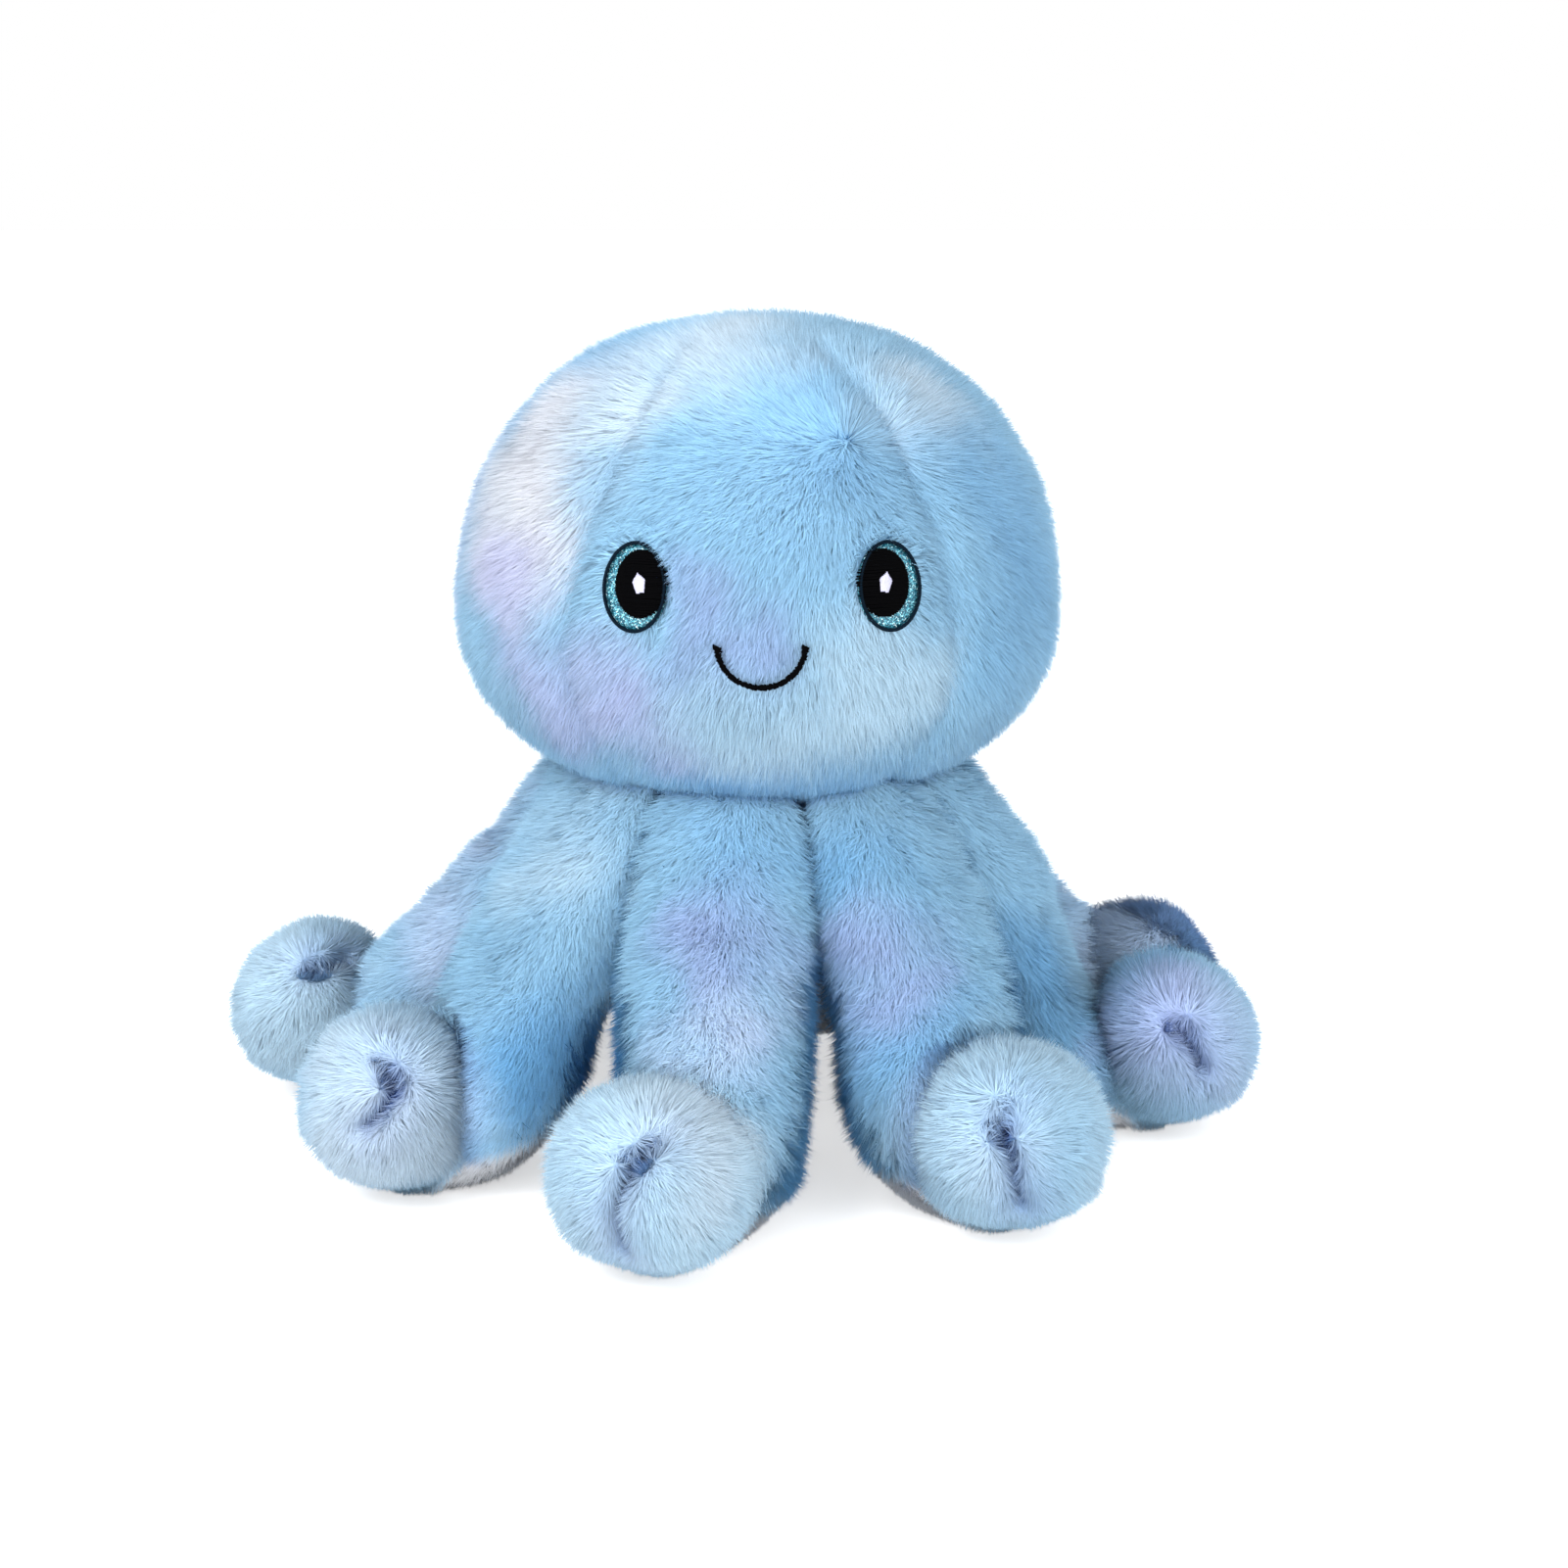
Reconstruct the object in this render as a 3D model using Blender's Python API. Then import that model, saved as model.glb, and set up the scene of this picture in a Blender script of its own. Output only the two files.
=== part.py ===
"""Plush octopus: a round stuffed head on a skirt of eight limbs with rolled ends.

Metres, +Z up. The toy looks along -Y, and the azimuths below turn from -Y
towards +X, its own left side. The origin is the middle of its footprint.
"""
import math

import bmesh
import bpy
import numpy as np
from mathutils import Vector

# Head: two half superellipses joined at the widest height.
HEAD_RADIUS = 0.0875
HEAD_WIDEST_HEIGHT = 0.155
HEAD_CROWN_RISE = 0.085
HEAD_CHIN_DROP = 0.0645
CROWN_POWER = 2.3
CHIN_POWER = 2.0
DIP_POWER = 4.0
PILE = 0.007
SEAM_DIP = 0.0026
SEAM_GAP = 0.0003
MERGE_DISTANCE = 0.00001
FACE_TURN = math.radians(1.5)

# Gore seams of the head, as azimuths from the middle of the face.
FRONT_SEAM_NECK = math.radians(35.0)
FRONT_SEAM_CHEEK = math.radians(39.0)
FRONT_SEAM_CROWN = math.radians(29.0)
SIDE_SEAM = math.radians(98.0)

# Neck: the head rocks on a ball seat, whose rim is the crease of the neck.
NECK_RADIUS = 0.0655
NECK_HEIGHT = 0.1125
NOD_HEIGHT = 0.150
NOD_CLEARANCE = 0.0008
NOD_REACH = math.radians(5.6)
NECK_TUCK = math.radians(3.4)
SEAT_SLACK = 0.0016

# Eyes: glittery ovals in an embroidered rim, with pupil and highlight.
EYE_WIDTH = 0.0185
EYE_HEIGHT = 0.0240
EYE_AZIMUTH = math.radians(23.9)
EYE_LEVEL = 0.1747
EYE_RIM_WIDTH = 0.0011
EYE_POCKET_DEPTH = 0.0058
IRIS_DEPTH = 0.0030
IRIS_THICKNESS = 0.0024
PUPIL_WIDTH = 0.0138
PUPIL_HEIGHT = 0.0180
PUPIL_THICKNESS = 0.0009
PUPIL_SHIFT_IN = 0.0014
PUPIL_SHIFT_UP = 0.0015
GLINT_WIDTH = 0.0038
GLINT_HEIGHT = 0.0058
GLINT_THICKNESS = 0.0006
GLINT_TILT = math.radians(12.0)

# Mouth: one embroidered line, a shallow U.
MOUTH_WIDTH = 0.0232
MOUTH_DROP = 0.0124
MOUTH_LEVEL = 0.1609
MOUTH_LINE = 0.0020
MOUTH_THICKNESS = 0.0012
MOUTH_DEPTH = 0.0022
MOUTH_POCKET_SPARE = 0.0006

# Limbs and the skirt that carries them.
LIMB_COUNT = 8
FIRST_LIMB = math.radians(-9.0)
HINGE_RADIUS = 0.0870
HINGE_HEIGHT = 0.0800
LIMB_SLOPE = math.radians(53.0)
ROOT_THICKNESS = 0.044
ROOT_CLEARANCE = 0.0009
DROOP = math.radians(6.0)
SKIRT_BULGE = 0.0026
LIMB_PILE = 0.0048
FOOT_THICKNESS = 0.0206
FOOT_WIDTH = 0.051
TIP_THICKNESS = 0.0168
TIP_WIDTH = 0.032
KNOB_RADIUS = 0.0276
CURL_END_RADIUS = 0.0088
CURL_SWEEP = math.radians(296.0)
FOOT_CUT = 0.0005
SECTION_POWER = 2.2
TAPER_POWER = 1.4

# Each limb: how far it bends aside, how far its roll is turned from its own
# azimuth, and its reach from the root to the middle of the roll. The first
# limb is in front.
LIMBS = (
    (math.radians(27.0), math.radians(-31.0), 0.0610),
    (math.radians(-29.0), math.radians(20.0), 0.0538),
    (math.radians(9.0), math.radians(3.0), 0.0535),
    (math.radians(-40.0), math.radians(-40.0), 0.0662),
    (math.radians(-4.0), math.radians(4.0), 0.0590),
    (math.radians(5.0), math.radians(-4.0), 0.0600),
    (math.radians(6.5), math.radians(1.0), 0.0680),
    (math.radians(18.0), math.radians(-26.0), 0.0530),
)

# Underside of the body between the limbs.
BASE_HEIGHT = 0.0345
BASE_RIM_RADIUS = 0.043
BASE_DISH = 0.0015
BASE_SLACK = 0.0011

# The middle of the footprint, seen from the head's axis.
FOOTPRINT_X = -0.0071
FOOTPRINT_Y = -0.0007
ORIGIN = np.array([FOOTPRINT_X, FOOTPRINT_Y, 0.0])

# Counts of the facets.
FRONT_COLUMNS = 8
SIDE_COLUMNS = 6
HEAD_ROWS = 9
LOBE_COLUMNS = 4
SKIRT_ROWS = 3
DESCENT_STEPS = 5
CURL_STEPS = 9
PANEL_SIDES = 4
EYE_SIDES = 20
MOUTH_STEPS = 12
PLAN_STEPS = 60
SHARP_EDGE = math.radians(50.0)

# Shares of the sizes that they follow.
DESCENT_LEAVE_SHARE = 0.80
DESCENT_ARRIVE_SHARE = 0.84
FILLING_END_SHARE = 0.94
TIP_ROUND_SHARE = 0.86
CURL_TIGHTEN_SHARE = 0.50
LOBE_SHARE = 0.9
SEAT_RING_SHARES = (0.3, 0.6, 0.85)
BALL_RING_SHARES = (0.3, 0.65, 1.0)

# How far a cutter stands out of what it cuts.
RUN_OUT = 0.006

# Colours, linear, with roughness.
BLUE_PILE = (0.30, 0.52, 0.75)
PALE_PILE = (0.42, 0.60, 0.79)
WHITE_PILE = (0.58, 0.62, 0.66)
FILLING_WHITE = (0.80, 0.80, 0.78)
GLITTER_TEAL = (0.05, 0.30, 0.36)
RIM_NAVY = (0.01, 0.025, 0.06)
THREAD_BLACK = (0.01, 0.01, 0.012)
THREAD_WHITE = (0.86, 0.86, 0.88)
ROUGH_PILE = 0.95
ROUGH_THREAD = 0.75
ROUGH_GLITTER = 0.35


def outward(azimuth):
    """Level unit vector that points away from the toy's axis."""
    return np.array([math.sin(azimuth), -math.cos(azimuth), 0.0])


def across(azimuth):
    """Level unit vector square to outward(), towards growing azimuth."""
    return np.array([math.cos(azimuth), math.sin(azimuth), 0.0])


def place(radius, azimuth, height):
    point = outward(azimuth) * radius
    point[2] = height
    return point


def smooth(share):
    share = min(max(share, 0.0), 1.0)
    return share * share * (3.0 - 2.0 * share)


def mix(first, second, share):
    return first + (second - first) * share


def clear_scene():
    for item in list(bpy.data.objects):
        bpy.data.objects.remove(item, do_unlink=True)


def material(name, colour, roughness, metallic=0.0):
    made = bpy.data.materials.new(name)
    made.use_nodes = True
    shader = made.node_tree.nodes["Principled BSDF"]
    shader.inputs["Base Color"].default_value = (*colour, 1.0)
    shader.inputs["Roughness"].default_value = roughness
    shader.inputs["Metallic"].default_value = metallic
    made.diffuse_color = (*colour, 1.0)
    return made


def pivot(name, position):
    empty = bpy.data.objects.new(name, None)
    empty.location = Vector(position - ORIGIN)
    empty.empty_display_size = PILE
    bpy.context.scene.collection.objects.link(empty)
    return empty


def add_solid(name, mesh, finish, parent=None, at=None):
    """Make an object of a bmesh whose points are seen from the head's axis."""
    origin = ORIGIN if at is None else at
    bmesh.ops.remove_doubles(mesh, verts=mesh.verts, dist=MERGE_DISTANCE)
    bmesh.ops.dissolve_degenerate(mesh, edges=mesh.edges, dist=MERGE_DISTANCE)
    bmesh.ops.triangulate(mesh, faces=mesh.faces)
    bmesh.ops.recalc_face_normals(mesh, faces=mesh.faces)
    bmesh.ops.translate(mesh, verts=mesh.verts, vec=Vector(-origin))
    data = bpy.data.meshes.new(name)
    mesh.to_mesh(data)
    mesh.free()
    data.shade_smooth()
    data.set_sharp_from_angle(angle=SHARP_EDGE)
    item = bpy.data.objects.new(name, data)
    bpy.context.scene.collection.objects.link(item)
    data.materials.append(material(name, *finish))
    if parent is not None:
        item.parent = parent
    return item


def grid_faces(mesh, rows, closed=False):
    """Skin neighbouring rows of vertices with quads."""
    for low, high in zip(rows[:-1], rows[1:]):
        count = len(low)
        for index in range(count if closed else count - 1):
            after = (index + 1) % count
            corners = [low[index], low[after], high[after], high[index]]
            kept = [v for number, v in enumerate(corners) if v not in corners[:number]]
            if len(kept) > 2:
                mesh.faces.new(kept)


def vertices(mesh, points):
    return [mesh.verts.new(Vector(point)) for point in points]


def shell_patch(outer, inner):
    """Closed thick patch between two grids of points with as many rows."""
    mesh = bmesh.new()
    top = [vertices(mesh, row) for row in outer]
    low = [vertices(mesh, row) for row in inner]
    grid_faces(mesh, top)
    grid_faces(mesh, low)
    grid_faces(mesh, [top[0], low[0]])
    grid_faces(mesh, [top[-1], low[-1]])
    grid_faces(mesh, [[row[0] for row in top], [row[0] for row in low]])
    grid_faces(mesh, [[row[-1] for row in top], [row[-1] for row in low]])
    return mesh


def ring_solid(rings):
    """Closed solid skinned over rings, with a flat or pointed cap at each end."""
    mesh = bmesh.new()
    rows = [vertices(mesh, ring) for ring in rings]
    grid_faces(mesh, rows, closed=True)
    mesh.faces.new(rows[0])
    mesh.faces.new(rows[-1])
    return mesh


def ring_shell(outer, inner):
    """Closed bowl between two stacks of rings, joined at their first rings."""
    mesh = bmesh.new()
    top = [vertices(mesh, ring) for ring in outer]
    low = [vertices(mesh, ring) for ring in inner]
    grid_faces(mesh, top, closed=True)
    grid_faces(mesh, low, closed=True)
    grid_faces(mesh, [top[0], low[0]], closed=True)
    mesh.faces.new(top[-1])
    mesh.faces.new(low[-1])
    return mesh


def head_radius(height, inset=0.0):
    """Radius of the head, or of a surface inset below it, at a height."""
    above = height >= HEAD_WIDEST_HEIGHT
    rise = (HEAD_CROWN_RISE if above else HEAD_CHIN_DROP) - inset
    power = CROWN_POWER if above else CHIN_POWER
    share = min(abs(height - HEAD_WIDEST_HEIGHT) / rise, 1.0)
    return (HEAD_RADIUS - inset) * (1.0 - share ** power) ** (1.0 / power)


SEAT_RADIUS = math.hypot(NECK_RADIUS, NOD_HEIGHT - NECK_HEIGHT)
SEAT_RIM = math.atan2(NECK_RADIUS, NOD_HEIGHT - NECK_HEIGHT)
BALL_RADIUS = SEAT_RADIUS - NOD_CLEARANCE


def seat_point(radius, angle):
    """Radius and height of a point of a ball about the nod axis, seen from below it."""
    return radius * math.sin(angle), NOD_HEIGHT - radius * math.cos(angle)


def head_profile(inset):
    """Radius and height of the head's skin from the neck opening to the crown."""
    ball = BALL_RADIUS - inset
    tucked = [SEAT_RIM - NECK_TUCK, SEAT_RIM + NOD_REACH]
    points = [seat_point(ball, angle) for angle in tucked]
    lowest = HEAD_CHIN_DROP - inset
    start = math.acos(min(points[-1][0] / (HEAD_RADIUS - inset), 1.0))
    chin_rows = HEAD_ROWS // 3
    for row in range(chin_rows):
        angle = mix(start, 0.0, (row + 0.5) / chin_rows)
        radius = (HEAD_RADIUS - inset) * math.cos(angle)
        points.append((radius, HEAD_WIDEST_HEIGHT - lowest * math.sin(angle)))
    crown_rows = HEAD_ROWS - chin_rows
    for row in range(crown_rows + 1):
        angle = mix(0.0, math.pi / 2, (row + 0.5) / (crown_rows + 0.5))
        radius = (HEAD_RADIUS - inset) * max(math.cos(angle), 0.0) ** (2.0 / CROWN_POWER)
        height = (HEAD_CROWN_RISE - inset) * math.sin(angle) ** (2.0 / CROWN_POWER)
        points.append((radius, HEAD_WIDEST_HEIGHT + height))
    points[-1] = (0.0, points[-1][1])
    return points


def front_seam(height):
    """Azimuth of the seams beside the face, from the middle of the face."""
    if height < HEAD_WIDEST_HEIGHT:
        share = (height - NECK_HEIGHT) / (HEAD_WIDEST_HEIGHT - NECK_HEIGHT)
        return mix(FRONT_SEAM_NECK, FRONT_SEAM_CHEEK, smooth(share))
    share = (height - HEAD_WIDEST_HEIGHT) / HEAD_CROWN_RISE
    return mix(FRONT_SEAM_CHEEK, FRONT_SEAM_CROWN, smooth(share))


def head_panel(left_seam, right_seam, columns):
    """Gore of the head between two seams, given as functions of the height."""
    skins = []
    for inset, drawn_in in ((0.0, SEAM_DIP), (PILE, 0.0)):
        rows = []
        for number, (radius, height) in enumerate(head_profile(inset)):
            row = []
            spare = SEAM_GAP / 2 / radius if radius > 0.0 else 0.0
            left = left_seam(height) + spare
            right = right_seam(height) - spare
            if left >= right:
                radius = 0.0
            for column in range(columns + 1):
                share = column / columns
                dip = drawn_in * abs(2.0 * share - 1.0) ** DIP_POWER if number > 1 else 0.0
                pulled = min(dip, radius * SEAM_DIP / PILE)
                row.append(place(radius - pulled, mix(left, right, share), height))
            rows.append(row)
        middle = mix(left_seam(height), right_seam(height), 0.5)
        apart = outward(middle) * SEAM_GAP
        apart[2] = height
        rows[-1] = [apart] * (columns + 1)
        skins.append(rows)
    return shell_patch(*skins)


def eye_frame(side):
    """Azimuth of an eye and the head's outward direction there."""
    azimuth = FACE_TURN + side * EYE_AZIMUTH
    step = EYE_HEIGHT / 2
    rise = head_radius(EYE_LEVEL + step) - head_radius(EYE_LEVEL - step)
    tilt = math.atan2(-rise, 2 * step)
    normal = outward(azimuth) * math.cos(tilt)
    normal[2] = math.sin(tilt)
    return azimuth, normal


def face_point(azimuth, normal, level, aside, up, depth):
    """Point at a depth below the skin, aside and up from a place on the face."""
    height = level + up
    turn = azimuth + aside / head_radius(level)
    return place(head_radius(height), turn, height) - normal * depth


def oval(width, height, sides, corner=0.0):
    """Points of an oval about its own middle."""
    points = []
    for index in range(sides):
        angle = corner + 2 * math.pi * index / sides
        points.append((width / 2 * math.cos(angle), height / 2 * math.sin(angle)))
    return points


def eye_disc(side, outline, middle, depth, thickness):
    """Oval plate that follows the face, from a depth inwards."""
    azimuth, normal = eye_frame(side)
    rings = []
    for layer, share in ((depth, 0.5), (depth, 1.0), (depth + thickness, 1.0),
                         (depth + thickness, 0.5)):
        rings.append([face_point(azimuth, normal, EYE_LEVEL, middle[0] + x * share,
                                 middle[1] + y * share, layer) for x, y in outline])
    return ring_solid(rings)


def eye_ring(side, outer, inner, depth, thickness):
    """Embroidered oval ring between two outlines."""
    azimuth, normal = eye_frame(side)
    mesh = bmesh.new()
    rows = []
    for outline, layer in ((outer, depth), (inner, depth), (inner, depth + thickness),
                           (outer, depth + thickness)):
        points = [face_point(azimuth, normal, EYE_LEVEL, x, y, layer) for x, y in outline]
        rows.append(vertices(mesh, points))
    grid_faces(mesh, rows + [rows[0]], closed=True)
    return mesh


def mouth_bar(width, depth, thickness, run_out):
    """Flat bar along the mouth's U, from a depth inwards."""
    azimuth = FACE_TURN
    normal = outward(azimuth)
    reach = math.pi / 2 + run_out / (MOUTH_WIDTH / 2)
    rings = []
    for step in range(MOUTH_STEPS + 1):
        angle = mix(-reach, reach, step / MOUTH_STEPS)
        middle = np.array([MOUTH_WIDTH / 2 * math.sin(angle), -MOUTH_DROP * math.cos(angle)])
        along = np.array([MOUTH_WIDTH / 2 * math.cos(angle), MOUTH_DROP * math.sin(angle)])
        aside = np.array([-along[1], along[0]]) / np.hypot(*along) * width / 2
        ring = []
        for sign, layer in ((1, depth), (-1, depth), (-1, depth + thickness),
                            (1, depth + thickness)):
            x, y = middle + aside * sign
            ring.append(face_point(azimuth, normal, MOUTH_LEVEL, x, y, layer))
        rings.append(ring)
    return ring_solid(rings)


def cut_from(item, cutter_mesh, name, parent, at):
    """Take a cutter's space out of a piece, live."""
    cutter = add_solid(name, cutter_mesh, (THREAD_BLACK, ROUGH_PILE), parent, at)
    cutter.hide_render = True
    cutter.display_type = "WIRE"
    change = item.modifiers.new(name, "BOOLEAN")
    change.operation = "DIFFERENCE"
    change.solver = "EXACT"
    change.object = cutter


def left_front(height):
    return FACE_TURN + front_seam(height)


def right_front(height):
    return FACE_TURN - front_seam(height)


# The gores in their order round the head, each with its two seams.
GORES = (
    ("head_back_right_panel", lambda height: -math.pi, lambda height: -SIDE_SEAM, SIDE_COLUMNS),
    ("head_right_panel", lambda height: -SIDE_SEAM, right_front, SIDE_COLUMNS),
    ("head_front_panel", right_front, left_front, FRONT_COLUMNS),
    ("head_left_panel", left_front, lambda height: SIDE_SEAM, SIDE_COLUMNS),
    ("head_back_left_panel", lambda height: SIDE_SEAM, lambda height: math.pi, SIDE_COLUMNS),
)


def build_head():
    at = np.array([0.0, 0.0, NOD_HEIGHT])
    nod = pivot("head_nod", at)
    panels = {}
    for name, start, end, columns in GORES:
        mesh = head_panel(start, end, columns)
        panels[name] = add_solid(name, mesh, (PALE_PILE, ROUGH_PILE), nod, at)
    face = panels["head_front_panel"]
    for side, label in ((1, "left"), (-1, "right")):
        build_eye(side, label, face, nod, at)
    build_mouth(face, nod, at)
    build_head_filling(nod, at)


def build_head_filling(nod, at):
    """Stuffing of the head, bare in the neck opening."""
    inset = PILE + SEAM_GAP
    opening = SEAT_RIM - NECK_TUCK - 2 * SEAM_GAP / BALL_RADIUS
    profile = [seat_point(BALL_RADIUS, opening * share) for share in BALL_RING_SHARES]
    profile.append(seat_point(BALL_RADIUS - inset, opening))
    profile += head_profile(inset)[1:-1]
    rings = []
    for radius, height in profile:
        ring = []
        for name, start, end, columns in GORES:
            for column in range(columns):
                turn = mix(start(height), end(height), column / columns)
                ring.append(place(radius, turn, height))
        rings.append(ring)
    add_solid("head_filling", ring_solid(rings), (FILLING_WHITE, ROUGH_PILE), nod, at)


def build_eye(side, label, face, nod, at):
    rim_width = EYE_WIDTH + 2 * SEAM_GAP
    rim_height = EYE_HEIGHT + 2 * SEAM_GAP
    azimuth, normal = eye_frame(side)
    pocket = eye_disc(side, oval(rim_width, rim_height, EYE_SIDES), (0.0, 0.0), -RUN_OUT,
                      EYE_POCKET_DEPTH + RUN_OUT)
    cut_from(face, pocket, label + "_eye_pocket", nod, at)
    inner_width = EYE_WIDTH - 2 * EYE_RIM_WIDTH
    inner_height = EYE_HEIGHT - 2 * EYE_RIM_WIDTH
    ring = eye_ring(side, oval(EYE_WIDTH, EYE_HEIGHT, EYE_SIDES),
                    oval(inner_width, inner_height, EYE_SIDES), IRIS_DEPTH, IRIS_THICKNESS)
    add_solid(label + "_eye_rim", ring, (RIM_NAVY, ROUGH_THREAD), nod, at)
    iris = eye_disc(side, oval(inner_width - 2 * SEAM_GAP, inner_height - 2 * SEAM_GAP, EYE_SIDES),
                    (0.0, 0.0), IRIS_DEPTH, IRIS_THICKNESS)
    add_solid(label + "_eye_iris", iris, (GLITTER_TEAL, ROUGH_GLITTER, 0.4), nod, at)
    middle = (-side * PUPIL_SHIFT_IN, PUPIL_SHIFT_UP)
    pupil_depth = IRIS_DEPTH - SEAM_GAP - PUPIL_THICKNESS
    pupil = eye_disc(side, oval(PUPIL_WIDTH, PUPIL_HEIGHT, EYE_SIDES), middle, pupil_depth,
                     PUPIL_THICKNESS)
    add_solid(label + "_eye_pupil", pupil, (THREAD_BLACK, ROUGH_THREAD), nod, at)
    glint_depth = pupil_depth - SEAM_GAP - GLINT_THICKNESS
    glint = eye_disc(side, oval(GLINT_WIDTH, GLINT_HEIGHT, 5, math.pi / 2 - side * GLINT_TILT),
                     middle, glint_depth, GLINT_THICKNESS)
    add_solid(label + "_eye_highlight", glint, (THREAD_WHITE, ROUGH_THREAD), nod, at)


def build_mouth(face, nod, at):
    spare = MOUTH_POCKET_SPARE
    pocket = mouth_bar(MOUTH_LINE + spare, -RUN_OUT, MOUTH_DEPTH + MOUTH_THICKNESS + RUN_OUT
                       + SEAM_GAP, spare / 2)
    cut_from(face, pocket, "mouth_pocket", nod, at)
    stitch = mouth_bar(MOUTH_LINE, MOUTH_DEPTH, MOUTH_THICKNESS, 0.0)
    add_solid("mouth_stitch", stitch, (THREAD_BLACK, ROUGH_THREAD), nod, at)


# The limb's root section stands square to its slope, below the hinge line.
LIMB_STEP = 2 * math.pi / LIMB_COUNT
ROOT_RADIUS = HINGE_RADIUS - math.sin(LIMB_SLOPE) * ROOT_THICKNESS / 2
ROOT_HEIGHT = HINGE_HEIGHT - math.cos(LIMB_SLOPE) * ROOT_THICKNESS / 2
ROOT_WIDTH = 2 * (ROOT_RADIUS * math.tan(LIMB_STEP / 2) - ROOT_CLEARANCE)


def section_curve(angle):
    """Unit superellipse: across and up shares at an angle from across."""
    power = 2.0 / SECTION_POWER
    side = math.cos(angle)
    rise = math.sin(angle)
    return (math.copysign(abs(side) ** power, side), math.copysign(abs(rise) ** power, rise))


def root_section(azimuth, share, inset, up, seam=0.0):
    """Point of the body's cut face below a hinge line, share -1 to 1 across.

    The face leans in by the droop, so that a hanging limb stays clear of it.
    Its lower half keeps its depth, since the base panel's thickness lies inwards.
    """
    side, rise = section_curve(math.pi / 2 * (1.0 - share))
    slope = LIMB_SLOPE + DROOP
    depth = ROOT_THICKNESS / 2 - max(up, 0.0) * inset
    drop = ROOT_THICKNESS / 2 - up * rise * depth + seam
    radius = HINGE_RADIUS - math.sin(slope) * drop - math.cos(slope) * SEAM_GAP
    height = HINGE_HEIGHT - math.cos(slope) * drop + math.sin(slope) * SEAM_GAP
    return place(radius, azimuth, height) + across(azimuth) * side * (ROOT_WIDTH / 2 - inset)


def skirt_point(azimuth, share, along, inset):
    """Point of the skirt's skin between the neck and a limb's root."""
    root = root_section(azimuth, share, inset, 1.0)
    angle = SEAT_RIM - inset / SEAT_RADIUS
    turned = azimuth + share * (LIMB_STEP / 2 - SEAM_GAP / NECK_RADIUS / 2)
    radius, height = seat_point(SEAT_RADIUS, angle)
    neck = place(radius, turned, height)
    bulge = SKIRT_BULGE * 4 * along * (1.0 - along) * (1.0 - share * share)
    point = mix(neck, root, along) + outward(azimuth) * bulge
    limit = np.dot(point, outward(azimuth)) * math.tan(LIMB_STEP / 2) - SEAM_GAP
    side = np.dot(point, across(azimuth))
    return point + across(azimuth) * (max(-limit, min(side, limit)) - side)


def shares(columns):
    return [2.0 * column / columns - 1.0 for column in range(columns + 1)]


def build_skirt():
    for index in range(LIMB_COUNT):
        azimuth = FIRST_LIMB + index * LIMB_STEP
        skins = []
        for inset in (0.0, LIMB_PILE):
            rows = []
            for row in range(SKIRT_ROWS + 1):
                along = row / SKIRT_ROWS
                rows.append([skirt_point(azimuth, share, along, inset)
                             for share in shares(LOBE_COLUMNS)])
            skins.append(rows)
        add_solid("skirt_panel_%d" % (index + 1), shell_patch(*skins), (BLUE_PILE, ROUGH_PILE))


def body_ring(point_of):
    """One ring of points round the body, lobe by lobe."""
    ring = []
    for index in range(LIMB_COUNT):
        azimuth = FIRST_LIMB + index * LIMB_STEP
        ring += [point_of(azimuth, share) for share in shares(LOBE_COLUMNS)]
    return ring


def base_stack(inset, seam):
    """Rings of the underside, from the limbs' roots to the middle."""
    def root_ring(azimuth, share):
        point = root_section(azimuth, share, 0.0, -1.0, seam)
        level = point * np.array([1.0, 1.0, 0.0])
        return point - level / np.linalg.norm(level) * inset

    def flat_ring(radius, height):
        def point_of(azimuth, share):
            return place(radius, azimuth + share * LOBE_SHARE * LIMB_STEP / 2, height + inset)
        return point_of

    return [body_ring(root_ring),
            body_ring(flat_ring(BASE_RIM_RADIUS - inset, BASE_HEIGHT + BASE_DISH)),
            body_ring(flat_ring(BASE_RIM_RADIUS / 2, BASE_HEIGHT))]


def build_body():
    outer = base_stack(0.0, SEAM_GAP)
    inner = base_stack(LIMB_PILE, SEAM_GAP)
    add_solid("base_panel", ring_shell(outer, inner), (WHITE_PILE, ROUGH_PILE))
    inset = LIMB_PILE + SEAM_GAP
    rings = []
    for share in SEAT_RING_SHARES:
        angle = (SEAT_RIM - inset / SEAT_RADIUS) * share

        def seat_ring(azimuth, part, angle=angle):
            radius, height = seat_point(SEAT_RADIUS + SEAT_SLACK, angle)
            return place(radius, azimuth + part * LOBE_SHARE * LIMB_STEP / 2, height)

        rings.append(body_ring(seat_ring))
    for row in range(SKIRT_ROWS + 1):
        along = row / SKIRT_ROWS
        rings.append(body_ring(lambda azimuth, share: skirt_point(azimuth, share, along, inset)))
    rings.append(body_ring(lambda azimuth, share: root_section(azimuth, share, inset, -1.0)))
    rings += base_stack(inset + BASE_SLACK, 0.0)
    add_solid("body_filling", ring_solid(rings), (FILLING_WHITE, ROUGH_PILE))


def descent(share, reach):
    """Middle line of a limb from its root down to its foot: out and up."""
    start = np.array([ROOT_RADIUS, ROOT_HEIGHT])
    end = np.array([ROOT_RADIUS + reach, FOOT_THICKNESS / 2 - FOOT_CUT])
    leave = start + np.array([math.cos(LIMB_SLOPE), -math.sin(LIMB_SLOPE)]) * (
        DESCENT_LEAVE_SHARE * (start[1] - end[1]))
    arrive = end - np.array([DESCENT_ARRIVE_SHARE * reach, 0.0])
    rest = 1.0 - share
    point = (start * rest ** 3 + leave * 3 * rest ** 2 * share
             + arrive * 3 * rest * share ** 2 + end * share ** 3)
    slope = ((leave - start) * rest ** 2 + (arrive - leave) * 2 * rest * share
             + (end - arrive) * share ** 2)
    return point, slope / np.hypot(*slope)


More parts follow.
